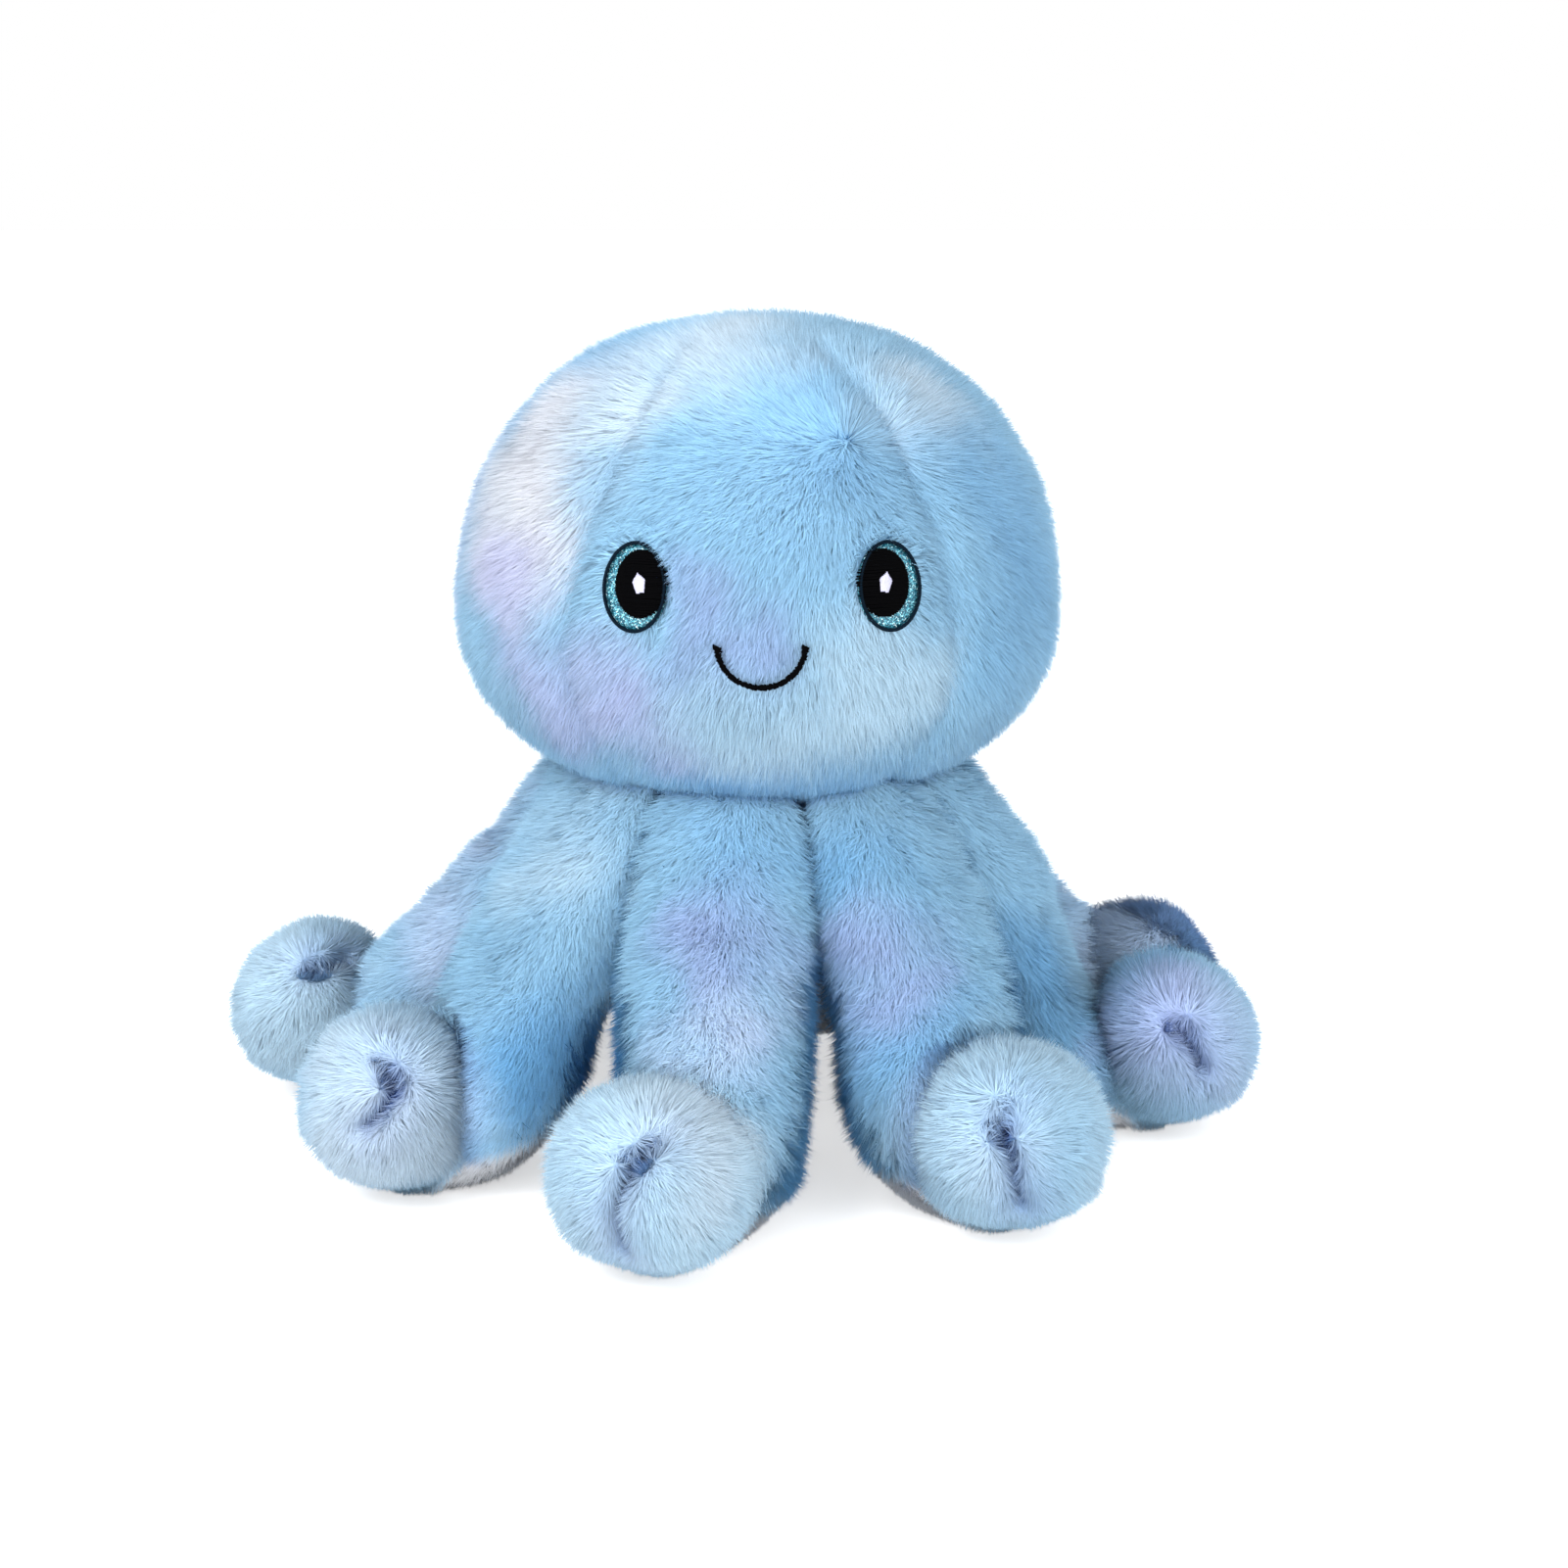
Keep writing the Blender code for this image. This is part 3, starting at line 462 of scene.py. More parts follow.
def pileTree():
    tree, given = newGroup("growPile", pile)
    named = {name: addNode(tree, "GeometryNodeInputNamedAttribute", {"data_type": kind},
                           {"Name": name})
             for name, kind in (("side", "FLOAT"), ("along", "FLOAT"), ("cover", "FLOAT"),
                                ("pileLength", "FLOAT"), ("comb", "FLOAT_VECTOR"),
                                ("soft", "FLOAT_VECTOR"), ("OFBake", "FLOAT_VECTOR"))}

    # One fibre: a thin triangle of unit height along Z, its front towards +Y
    corner = addNode(tree, "GeometryNodeInputIndex")
    tip = addNode(tree, "ShaderNodeMath", {"operation": "GREATER_THAN"}, {0: corner, 1: 1.5})
    hand = addNode(tree, "ShaderNodeMath", {"operation": "SUBTRACT"}, {0: 0.5, 1: corner})
    root = addNode(tree, "ShaderNodeMath", {"operation": "SUBTRACT"}, {0: 1.0, 1: tip})
    side = addNode(tree, "ShaderNodeMath", {"operation": "MULTIPLY"}, {0: hand, 1: root})
    fibre = addNode(tree, "GeometryNodeMeshCircle", {"fill_type": "NGON"}, {"Vertices": 3})
    for name, value in (("along", tip), ("side", side)):
        fibre = addNode(tree, "GeometryNodeStoreNamedAttribute",
                        {"data_type": "FLOAT", "domain": "POINT"},
                        {"Geometry": fibre, "Name": name, "Value": value})
    shape = addNode(tree, "ShaderNodeCombineXYZ", None, {0: named["side"], 2: named["along"]})
    fibre = addNode(tree, "GeometryNodeSetPosition", None,
                    {"Geometry": fibre, "Position": shape})

    density = addNode(tree, "ShaderNodeMath", {"operation": "MULTIPLY"},
                      {0: given["density"], 1: named["cover"]})
    sown = addNode(tree, "GeometryNodeDistributePointsOnFaces",
                   {"distribute_method": "RANDOM"},
                   {"Mesh": given["skin"], "Density": density, "Seed": given["seed"]})
    points, normal = sown.outputs["Points"], sown.outputs["Normal"]

    # each fibre leans at random, then with its strand and its tuft, then as the skin is combed
    loose = addNode(tree, "FunctionNodeRandomValue", {"data_type": "FLOAT_VECTOR"},
                    {0: (-1.0, -1.0, -1.0), 1: (1.0, 1.0, 1.0), "Seed": 11})
    lean = addNode(tree, "ShaderNodeVectorMath", {"operation": "SCALE"},
                   {0: loose, "Scale": given["frizz"]})
    place = addNode(tree, "GeometryNodeInputPosition")
    for scale, amount in (("strandScale", "strand"), ("tuftScale", "tuft")):
        # smooth noise leans neighbouring fibres the same way
        drift = addNode(tree, "ShaderNodeTexNoise", {"noise_dimensions": "3D"},
                        {"Vector": place, "Scale": given[scale], "Detail": 1.0})
        drift = addNode(tree, "ShaderNodeVectorMath", {"operation": "SUBTRACT"},
                        {0: drift.outputs["Color"], 1: (0.5, 0.5, 0.5)})
        strength = addNode(tree, "ShaderNodeMath", {"operation": "MULTIPLY"},
                           {0: given[amount], 1: 4.0})
        drift = addNode(tree, "ShaderNodeVectorMath", {"operation": "SCALE"},
                        {0: drift, "Scale": strength})
        lean = addNode(tree, "ShaderNodeVectorMath", {"operation": "ADD"}, {0: drift, 1: lean})
    lean = addNode(tree, "ShaderNodeVectorMath", {"operation": "ADD"},
                   {0: named["comb"], 1: lean})
    # only the part of the lean that lies in the skin counts
    rise = addNode(tree, "ShaderNodeVectorMath", {"operation": "DOT_PRODUCT"},
                   {0: lean, 1: normal})
    rise = addNode(tree, "ShaderNodeVectorMath", {"operation": "MULTIPLY"},
                   {0: normal, 1: rise.outputs["Value"]})
    flat = addNode(tree, "ShaderNodeVectorMath", {"operation": "SUBTRACT"}, {0: lean, 1: rise})
    stand = addNode(tree, "ShaderNodeVectorMath", {"operation": "ADD"}, {0: normal, 1: flat})
    stand = addNode(tree, "ShaderNodeVectorMath", {"operation": "NORMALIZE"}, {0: stand})
    turn = addNode(tree, "FunctionNodeAxesToRotation",
                   {"primary_axis": "Z", "secondary_axis": "Y"},
                   {"Primary Axis": stand, "Secondary Axis": normal})
    uneven = addNode(tree, "FunctionNodeRandomValue", {"data_type": "FLOAT"},
                     {2: 0.6, 3: 1.12, "Seed": 23})
    tall = addNode(tree, "ShaderNodeMath", {"operation": "MULTIPLY"},
                   {0: named["pileLength"], 1: uneven.outputs[1]})
    size = addNode(tree, "ShaderNodeCombineXYZ", None, {0: given["width"], 1: tall, 2: tall})
    # the pile is shaded by the skin's own normal, leant a little with each fibre
    soft = addNode(tree, "ShaderNodeVectorMath", {"operation": "SCALE"}, {0: flat, "Scale": 0.7})
    soft = addNode(tree, "ShaderNodeVectorMath", {"operation": "ADD"}, {0: normal, 1: soft})
    tone = addNode(tree, "FunctionNodeRandomValue", {"data_type": "FLOAT"},
                   {2: 0.0, 3: 1.0, "Seed": 31})
    for name, kind, value in (("soft", "FLOAT_VECTOR", soft), ("shade", "FLOAT", tone.outputs[1])):
        points = addNode(tree, "GeometryNodeStoreNamedAttribute",
                         {"data_type": kind, "domain": "POINT"},
                         {"Geometry": points, "Name": name, "Value": value})
    grown = addNode(tree, "GeometryNodeInstanceOnPoints", None,
                    {"Points": points, "Instance": fibre, "Rotation": turn, "Scale": size})
    grown = addNode(tree, "GeometryNodeRealizeInstances", None, {0: grown})
    # each fibre has its own small spot in the skin's map
    spot = addNode(tree, "ShaderNodeCombineXYZ", None, {0: named["side"], 1: named["along"]})
    spot = addNode(tree, "ShaderNodeVectorMath", {"operation": "SCALE"},
                   {0: spot, "Scale": given["texel"]})
    spot = addNode(tree, "ShaderNodeVectorMath", {"operation": "ADD"},
                   {0: named["OFBake"], 1: spot})
    grown = addNode(tree, "GeometryNodeStoreNamedAttribute",
                    {"data_type": "FLOAT2", "domain": "CORNER"},
                    {"Geometry": grown, "Name": "OFBake", "Value": spot})
    ground = addNode(tree, "GeometryNodeStoreNamedAttribute",
                     {"data_type": "FLOAT_VECTOR", "domain": "POINT"},
                     {"Geometry": given["skin"], "Name": "soft",
                      "Value": addNode(tree, "GeometryNodeInputNormal")})
    joined = addNode(tree, "GeometryNodeJoinGeometry")
    for layer in (ground, grown):
        tree.links.new(layer.outputs[0], joined.inputs[0])
    shaded = addNode(tree, "GeometryNodeSetMeshNormal", {"mode": "TANGENT_SPACE"},
                     {"Mesh": joined, "Custom Normal": named["soft"]})
    dressed = addNode(tree, "GeometryNodeSetMaterial", None,
                      {"Geometry": shaded, "Material": given["finish"]})
    addNode(tree, "NodeGroupOutput", None, {0: dressed})
    return tree


growPile = pileTree()


def bakeMap(item):
    # the skin's own map, which its fibres share
    bpy.ops.object.select_all(action="DESELECT")
    item.select_set(True)
    bpy.context.view_layer.objects.active = item
    item.data.uv_layers.new(name="OFBake")
    bpy.ops.object.mode_set(mode="EDIT")
    bpy.ops.mesh.select_all(action="SELECT")
    bpy.ops.uv.smart_project(angle_limit=math.radians(75), island_margin=0.004)
    bpy.ops.object.mode_set(mode="OBJECT")


def grow(skin, colours, comb, cover, tall, seed):
    # lays pile on a skin, with its colour, lean, share of the density and length at each point
    setAttribute(skin, "dyeAndShade", "FLOAT_COLOR",
                 np.concatenate([colours, np.ones((len(colours), 1))], 1))
    setAttribute(skin, "comb", "FLOAT_VECTOR", comb)
    setAttribute(skin, "cover", "FLOAT", cover)
    setAttribute(skin, "pileLength", "FLOAT", tall)
    bakeMap(skin)
    applyGroup(skin, growPile, {**pile, "seed": pile["seed"] + seed, "finish": longPile})
    print(skin.name, "has", len(skin.data.polygons), "faces")


# Head

head = {
    "axis": (7.1 * mm, 0.7 * mm),
    "radius": 87.5 * mm,
    "widest": 155.0 * mm,
    "rise": 85.0 * mm,
    "drop": 59.0 * mm,
    "crownPower": 2.3,
    "chinPower": 2.0,
    "sink": 5.0 * mm,
    "pile": 9.2 * mm,
    "lean": 1.25,
    "rows": 110,
    "columns": 256,
    "seamDepth": 3.6 * mm,
    "seamReach": 4.6 * mm,
    "faceTurn": 1.5,
    "frontSeam": (35.0, 39.0, 29.0),
    "sideSeam": 98.0,
    "neckHeight": 112.5 * mm,
    "fan": (27.0, -62.0, 213.0),
    "whorl": 8.0,
}
axis = np.array([head["axis"][0], head["axis"][1], 0.0])


def frontSeam(height):
    # azimuth of the seams beside the face, from its middle
    neck, cheek, crown = head["frontSeam"]
    low = smooth((height - head["neckHeight"]) / (head["widest"] - head["neckHeight"]))
    high = smooth((height - head["widest"]) / head["rise"])
    return np.radians(mix(mix(neck, cheek, low), crown, high))


def headPoint(azimuth, rise, sink):
    # rise is the angle above the widest ring
    above = rise >= 0
    power = 2.0 / np.where(above, head["crownPower"], head["chinPower"])
    tall = np.where(above, head["rise"], head["drop"]) - sink
    radius = (head["radius"] - sink) * np.abs(np.cos(rise)) ** power
    height = head["widest"] + np.sign(rise) * tall * np.abs(np.sin(rise)) ** power
    level = np.stack([np.sin(azimuth), -np.cos(azimuth)], -1)
    return np.concatenate([radius[..., None] * level, height[..., None]], -1)


def seamDistance(points):
    # arc distance in metres from the nearest gore seam
    azimuth = np.arctan2(points[:, 0], -points[:, 1]) - math.radians(head["faceTurn"])
    azimuth = (azimuth + math.pi) % (2 * math.pi) - math.pi
    radius = np.hypot(points[:, 0], points[:, 1])
    front = frontSeam(points[:, 2])
    side = math.radians(head["sideSeam"])
    apart = [np.abs(np.abs(azimuth) - front), np.abs(np.abs(azimuth) - side),
             np.abs(math.pi - np.abs(azimuth))]
    return np.min(apart, axis=0) * radius


def dent(points, centre, reach):
    away = np.linalg.norm(points - np.array(centre) * mm, axis=1) / (reach * mm)
    return np.exp(-away * away)


def inSkin(vectors, normals):
    # the part of each vector that lies in the skin
    return vectors - normals * np.sum(vectors * normals, axis=1)[:, None]


eyes = {
    "turn": 23.9,
    "level": 174.7 * mm,
    "width": 18.5 * mm,
    "height": 24.0 * mm,
}


def eyeCentre(side):
    azimuth = math.radians(head["faceTurn"] + side * eyes["turn"])
    share = (eyes["level"] - head["widest"]) / head["rise"]
    radius = head["radius"] * (1.0 - share ** head["crownPower"]) ** (1 / head["crownPower"])
    return outward(azimuth) * radius + np.array([0, 0, eyes["level"]]), azimuth


def buildHead():
    rises = np.linspace(-math.radians(80), math.radians(89.6), head["rows"])
    turns = np.linspace(0, 2 * math.pi, head["columns"], endpoint=False)
    rows = [headPoint(turns, np.full_like(turns, rise), head["sink"]) for rise in rises]
    points, faces = gridRing(rows)
    skin = newObject("head_plush", points, faces)
    points = pointsOf(skin)
    normals = normalsOf(skin)
    # the seams pull in, and the face dips at the nose and round the eyes
    pull = head["seamDepth"] * np.exp(-(seamDistance(points) / head["seamReach"]) ** 2)
    pull *= smooth((points[:, 2] / mm - 108) / 10) * smooth((238 - points[:, 2] / mm) / 20)
    pull += 3.0 * mm * dent(points, (-2.5, -86, 170), 13)
    for side in (-1, 1):
        centre, _ = eyeCentre(side)
        pull += 1.2 * mm * dent(points, centre / mm, 16)
    pull += wobble(points / mm, 0.05, 9)[:, 0] * 0.9 * mm
    setPoints(skin, points - normals * pull[:, None])
    tree = skinTree(skin)
    local = pointsOf(skin)
    normals = normalsOf(skin)
    setPoints(skin, local + axis)
    down = np.array([0.0, 0.0, -1.0])
    apart = local - np.array(head["fan"]) * mm
    near = np.exp(-np.linalg.norm(apart, axis=1) / mm / 60)
    comb = down * 0.75 + unit(apart) * (0.35 + 1.3 * near)[:, None]
    comb += 0.5 * wobble(local / mm, 0.025, 5)
    # hair stands up in the middle of its whorl
    calm = smooth(np.linalg.norm(apart, axis=1) / (head["whorl"] * mm))
    comb = unit(inSkin(comb, normals)) * (head["lean"] * mix(0.5, 1.0, calm))[:, None]
    tall = head["pile"] * mix(0.5, 1.0, smooth((local[:, 2] / mm - 108) / 24))
    cover = smooth((local[:, 2] / mm - 104) / 6)
    for side in (-1, 1):
        centre, azimuth = eyeCentre(side)
        aside = (local - centre) @ across(azimuth) / (eyes["width"] / 2)
        up = (local - centre)[:, 2] / (eyes["height"] / 2)
        front = (local @ outward(azimuth)) > 0
        away = np.where(front, np.hypot(aside, up), 9.0)
        cover = cover * smooth((away - 0.97) / 0.05)
        ring = np.exp(-((away - 1.0) / 0.28) ** 2)
        spread = unit(aside[:, None] * across(azimuth) + up[:, None] * np.array([0, 0, 1.0]))
        comb = mix(comb, spread * 0.9 + comb * 0.3, ring[:, None])
        tall = tall * mix(1.0, 0.5, ring)
    gap = mouthDistance(local)
    cover = cover * smooth((gap / mm - 0.9) / 0.5)
    tall = tall * mix(0.45, 1.0, smooth((gap / mm - 0.8) / 7))
    grow(skin, dyedAndShaded(local), comb, cover, tall, 0)
    return skin, tree


# Mouth

mouth = {
    "aside": -0.5 * mm,
    "level": 160.3 * mm,
    "drop": 11.2 * mm,
    "width": 23.2 * mm,
    "reach": 0.49 * math.pi,
    "depth": 2.4 * mm,
}


def headRadiusAt(height):
    rise = np.where(height > head["widest"], head["rise"], head["drop"])
    power = np.where(height > head["widest"], head["crownPower"], head["chinPower"])
    share = np.minimum(np.abs(height - head["widest"]) / rise, 1.0)
    return head["radius"] * (1.0 - share ** power) ** (1.0 / power)


def mouthPlace(angle):
    # aside and up of the middle of the face, along a shallow U
    return np.array([mouth["aside"] + mouth["width"] / 2 * math.sin(angle),
                     -mouth["drop"] * math.cos(angle)])


class FacePlace:
    # a place on the face, with points measured aside and up from it, under the pile's tips

    def __init__(self, turn, level):
        self.azimuth = math.radians(head["faceTurn"] + turn)
        self.level = level
        step = eyes["height"] / 2
        rise = float(headRadiusAt(np.array(level + step)) - headRadiusAt(np.array(level - step)))
        tilt = math.atan2(-rise, 2 * step) if turn else 0.0
        self.normal = outward(self.azimuth) * math.cos(tilt) + np.array([0, 0, math.sin(tilt)])

    def at(self, aside, up, depth):
        turn = self.azimuth + aside / float(headRadiusAt(np.array(self.level)))
        radius = float(headRadiusAt(np.array(self.level + up)))
        point = outward(turn) * radius + np.array([0, 0, self.level + up])
        return point - self.normal * depth


def mouthPath(count):
    place = FacePlace(0.0, mouth["level"])
    angles = np.linspace(-mouth["reach"], mouth["reach"], count)
    return np.array([place.at(*mouthPlace(angle), mouth["depth"]) for angle in angles])


def mouthDistance(points):
    path = mouthPath(41)
    return np.min(np.linalg.norm(points[:, None] - path[None], axis=2), axis=1) - 2.2 * mm


headPlush, headTree = buildHead()
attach(headPlush, "head")
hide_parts("head_filling", "head_front_panel", "head_left_panel",
            "head_right_panel", "head_back_left_panel", "head_back_right_panel")
print("head is grown")

# Eyes and mouth: embroidery in satin stitch, and glitter fabric in the eyes

stitch = {
    "sides": 6,
    "steps": 6,
    "rimWide": 0.9 * mm,
    "rimThread": 0.22 * mm,
    "rimCount": 170,
    "rimDepth": 2.2 * mm,
    "irisDepth": 3.0 * mm,
    "irisCrown": 0.5 * mm,
    "pupilWide": 14.2 * mm,
    "pupilTall": 17.8 * mm,
    "pupilIn": 1.9 * mm,
    "pupilUp": 1.0 * mm,
    "pupilThread": 0.22 * mm,
    "pupilFuzz": (1.3 * mm, 0.25 * mm),
    "pupilDepth": 2.0 * mm,
    "glintWide": 3.7 * mm,
    "glintTall": 5.6 * mm,
    "glintTilt": 12.0,
    "glintThread": 0.22 * mm,
    "glintDepth": 1.5 * mm,
    "mouthThread": 0.30 * mm,
    "mouthCount": 84,
    "mouthWide": 1.5 * mm,
    "mouthDepth": 1.0 * mm,
    "mouthJitter": 0.28 * mm,
}
flake = {
    "density": 9.0e6,
    "size": 0.27 * mm,
    "tilt": 0.42,
    "seed": 4,
}


def threadMaterial(name, colour, roughness):
    # twisted rayon thread: fine plies across each strand, a slight lustre
    made, tree, shader = newMaterial(name, {"Roughness": roughness, "Specular IOR Level": 0.03})
    place = addNode(tree, "ShaderNodeTexCoord")
    ply = addNode(tree, "ShaderNodeTexNoise", {"noise_dimensions": "3D"},
                  {"Vector": place.outputs["Object"], "Scale": 2600.0, "Detail": 2.0})
    varied = addNode(tree, "ShaderNodeMapRange", None,
                     {"Value": ply.outputs["Fac"], "To Min": 0.7, "To Max": 1.3})
    tone = addNode(tree, "ShaderNodeHueSaturation", None,
                   {"Color": (*linear(colour), 1.0), "Value": varied})
    bump = addNode(tree, "ShaderNodeBump", None,
                   {"Height": ply.outputs["Fac"], "Strength": 0.5, "Distance": 0.0001})
    tree.links.new(tone.outputs["Color"], shader.inputs["Base Color"])
    tree.links.new(bump.outputs["Normal"], shader.inputs["Normal"])
    return made


def glitterMaterial(name):
    # polyester glitter in clear lacquer: every flake has its own tone of teal
    made, tree, shader = newMaterial(name, {"Metallic": 0.35, "Roughness": 0.32,
                                            "Coat Weight": 0.3})
    tone = addNode(tree, "ShaderNodeAttribute", {"attribute_name": "shade"})
    ramp = addNode(tree, "ShaderNodeValToRGB", None, {"Fac": tone.outputs["Fac"]})
    shades = [(0.0, "#0d4356"), (0.35, "#1f7088"), (0.65, "#429fb4"), (0.88, "#8ad2de"),
              (1.0, "#e2f7fa")]
    while len(ramp.color_ramp.elements) < len(shades):
        ramp.color_ramp.elements.new(0.5)
    for element, (place, colour) in zip(ramp.color_ramp.elements, shades):
        element.position = place
        element.color = (*linear(colour), 1.0)
    tree.links.new(ramp.outputs["Color"], shader.inputs["Base Color"])
    return made


navyThread = threadMaterial("navyRayonThread", "#081520", 0.7)
blackThread = threadMaterial("blackRayonThread", "#020203", 0.9)
whiteThread = threadMaterial("whiteRayonThread", "#b4b4cc", 0.6)
glitter = glitterMaterial("tealGlitterFabric")


def oval(wide, tall, angle):
    return wide / 2 * math.cos(angle), tall / 2 * math.sin(angle)


def threads(place, name, strands, radius, crown, depth, finish, backing=None):
    # each strand is a thin tube from one place to the other, raised in the middle and
    # tucked in at its ends
    points, faces = [], []
    for (fromX, fromY), (toX, toY) in strands:
        run = np.array([toX - fromX, toY - fromY])
        long = max(float(np.hypot(*run)), 1e-6)
        aside = np.array([-run[1], run[0]]) / long
        start = len(points)
        for step in range(stitch["steps"] + 1):
            share = step / stitch["steps"]
            raised = crown * (1 - (2 * share - 1) ** 4) - 0.5 * radius
            for corner in range(stitch["sides"]):
                angle = 2 * math.pi * corner / stitch["sides"]
                middle = np.array([fromX, fromY]) + run * share
                x, y = middle + aside * math.cos(angle) * radius
                points.append(place.at(x, y, depth - raised - math.sin(angle) * radius) + axis)
        sides = stitch["sides"]
        for step in range(stitch["steps"]):
            faces += band(start + step * sides, start + (step + 1) * sides, sides)
        last = start + stitch["steps"] * sides
        faces.append(tuple(range(start, start + sides)))
        faces.append(tuple(range(last + sides - 1, last - 1, -1)))
    if backing:
        start, count = len(points), len(backing)
        for layer in (depth + 0.2 * mm, depth + 0.7 * mm):
            points += [place.at(x, y, layer) + axis for x, y in backing]
        faces.append(tuple(range(start, start + count)))
        faces.append(tuple(range(start + 2 * count - 1, start + count - 1, -1)))
        faces += band(start, start + count, count)
    item = newObject(name, points, faces)
    facesOut(item)
    item.data.shade_smooth()
    item.data.materials.append(finish)
    return item


def satin(outline, spacing, fuzz, seed):
    # level rows of thread that fill a closed outline given as points
    loop = np.array(outline)
    chance = np.random.default_rng(seed)
    rows = []
    for level in np.arange(loop[:, 1].min() + spacing / 2, loop[:, 1].max(), spacing):
        crossings = []
        for first, second in zip(loop, np.roll(loop, -1, axis=0)):
            if (first[1] - level) * (second[1] - level) < 0:
                share = (level - first[1]) / (second[1] - first[1])
                crossings.append(mix(first[0], second[0], share))
        if len(crossings) > 1:
            left, right = min(crossings), max(crossings)
            spread = chance.uniform(0.0, 1.0, 2) ** 2 * np.array(fuzz)
            rows.append(((left - spread[0], level + spread[0] * 0.3),
                         (right + spread[1], level + spread[1] * 0.3)))
    return rows


def flakeTree():
    # glitter flakes lie on the fabric at small random tilts
    tree, given = newGroup("scatterGlitter", flake)
    disc = addNode(tree, "GeometryNodeMeshCircle", {"fill_type": "NGON"},
                   {"Vertices": 6, "Radius": given["size"]})
    sown = addNode(tree, "GeometryNodeDistributePointsOnFaces", None,
                   {"Mesh": given["skin"], "Density": given["density"], "Seed": given["seed"]})
    loose = addNode(tree, "FunctionNodeRandomValue", {"data_type": "FLOAT_VECTOR"},
                    {0: (-1.0, -1.0, -1.0), 1: (1.0, 1.0, 1.0), "Seed": 3})
    tilt = addNode(tree, "ShaderNodeVectorMath", {"operation": "SCALE"},
                   {0: loose, "Scale": given["tilt"]})
    facing = addNode(tree, "ShaderNodeVectorMath", {"operation": "ADD"},
                     {0: sown.outputs["Normal"], 1: tilt})
    turn = addNode(tree, "FunctionNodeAlignRotationToVector", {"axis": "Z"},
                   {"Vector": facing})
    tone = addNode(tree, "FunctionNodeRandomValue", {"data_type": "FLOAT"},
                   {2: 0.0, 3: 1.0, "Seed": 9})
    points = addNode(tree, "GeometryNodeStoreNamedAttribute", {"data_type": "FLOAT"},
                     {"Geometry": sown.outputs["Points"], "Name": "shade",
                      "Value": tone.outputs[1]})
    laid = addNode(tree, "GeometryNodeInstanceOnPoints", None,
                   {"Points": points, "Instance": disc, "Rotation": turn})
    laid = addNode(tree, "GeometryNodeRealizeInstances", None, {0: laid})
    joined = addNode(tree, "GeometryNodeJoinGeometry")
    for layer in (given["skin"], laid.outputs[0]):
        tree.links.new(layer, joined.inputs[0])
    dressed = addNode(tree, "GeometryNodeSetMaterial", None,
                      {"Geometry": joined, "Material": given["finish"]})
    addNode(tree, "NodeGroupOutput", None, {0: dressed})
    return tree


scatterGlitter = flakeTree()


def buildIris(place, name):
    wide, tall = eyes["width"] - stitch["rimWide"], eyes["height"] - stitch["rimWide"]
    rings, count = 7, 48
    points = [place.at(0, 0, stitch["irisDepth"] - stitch["irisCrown"]) + axis]
    for ring in range(1, rings + 1):
        share = ring / rings
        depth = stitch["irisDepth"] - stitch["irisCrown"] * (1 - share * share)
        for index in range(count):
            x, y = oval(wide * share, tall * share, 2 * math.pi * index / count)
            points.append(place.at(x, y, depth) + axis)
    lower = len(points)
    for index in range(count):
        x, y = oval(wide, tall, 2 * math.pi * index / count)
        points.append(place.at(x, y, stitch["irisDepth"] + 1.4 * mm) + axis)
    faces = [(0, 1 + index, 1 + (index + 1) % count) for index in range(count)]
    for ring in range(rings):
        faces += band(1 + ring * count, 1 + (ring + 1) * count, count)
    faces.append(tuple(range(lower + count - 1, lower - 1, -1)))
    item = newObject(name, points, faces)
    applyGroup(item, scatterGlitter, {**flake, "finish": glitter})
    return item


def buildEye(side, label):
    place = FacePlace(side * eyes["turn"], eyes["level"])
    made = {}
    # rim: short stitches across a narrow band
    wide, tall, band = eyes["width"], eyes["height"], stitch["rimWide"]
    strands = []
    for index in range(stitch["rimCount"]):
        angle = 2 * math.pi * index / stitch["rimCount"]
        strands.append((oval(wide, tall, angle), oval(wide - 2 * band, tall - 2 * band,
                                                      angle + 0.03)))
    made["rim"] = threads(place, label + "_rim_stitches", strands, stitch["rimThread"],
                          0.35 * mm, stitch["rimDepth"], navyThread)
    made["iris"] = buildIris(place, label + "_glitter")
    # pupil: level rows of thread over a padded oval
    inX, upY = -side * stitch["pupilIn"], stitch["pupilUp"]
    outline = [(x + inX, y + upY) for x, y in
               (oval(stitch["pupilWide"], stitch["pupilTall"], 2 * math.pi * k / 60)
                for k in range(60))]
    rows = satin(outline, stitch["pupilThread"] * 1.55, stitch["pupilFuzz"][::side], 3 + side)
    backing = [(x * 0.98 + inX * 0.02, y * 0.98 + upY * 0.02) for x, y in outline]
    made["pupil"] = threads(place, label + "_pupil_stitches", rows, stitch["pupilThread"],
                            0.3 * mm, stitch["pupilDepth"], blackThread, backing)
    # highlight: a small five-sided spot
    tilt = math.radians(stitch["glintTilt"]) * -side
    spot = []
    for k in range(5):
        x, y = oval(stitch["glintWide"], stitch["glintTall"], math.pi / 2 + 2 * math.pi * k / 5)
        spot.append((x * math.cos(tilt) - y * math.sin(tilt) + inX,
                     x * math.sin(tilt) + y * math.cos(tilt) + upY))
    rows = satin(spot, stitch["glintThread"] * 1.5, (0.12 * mm, 0.12 * mm), 13 + side)
    made["highlight"] = threads(place, label + "_highlight_stitches", rows,
                                stitch["glintThread"], 0.25 * mm, stitch["glintDepth"],
                                whiteThread, spot)
    for part, item in made.items():
        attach(item, "head")
        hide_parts(label + "_" + part)


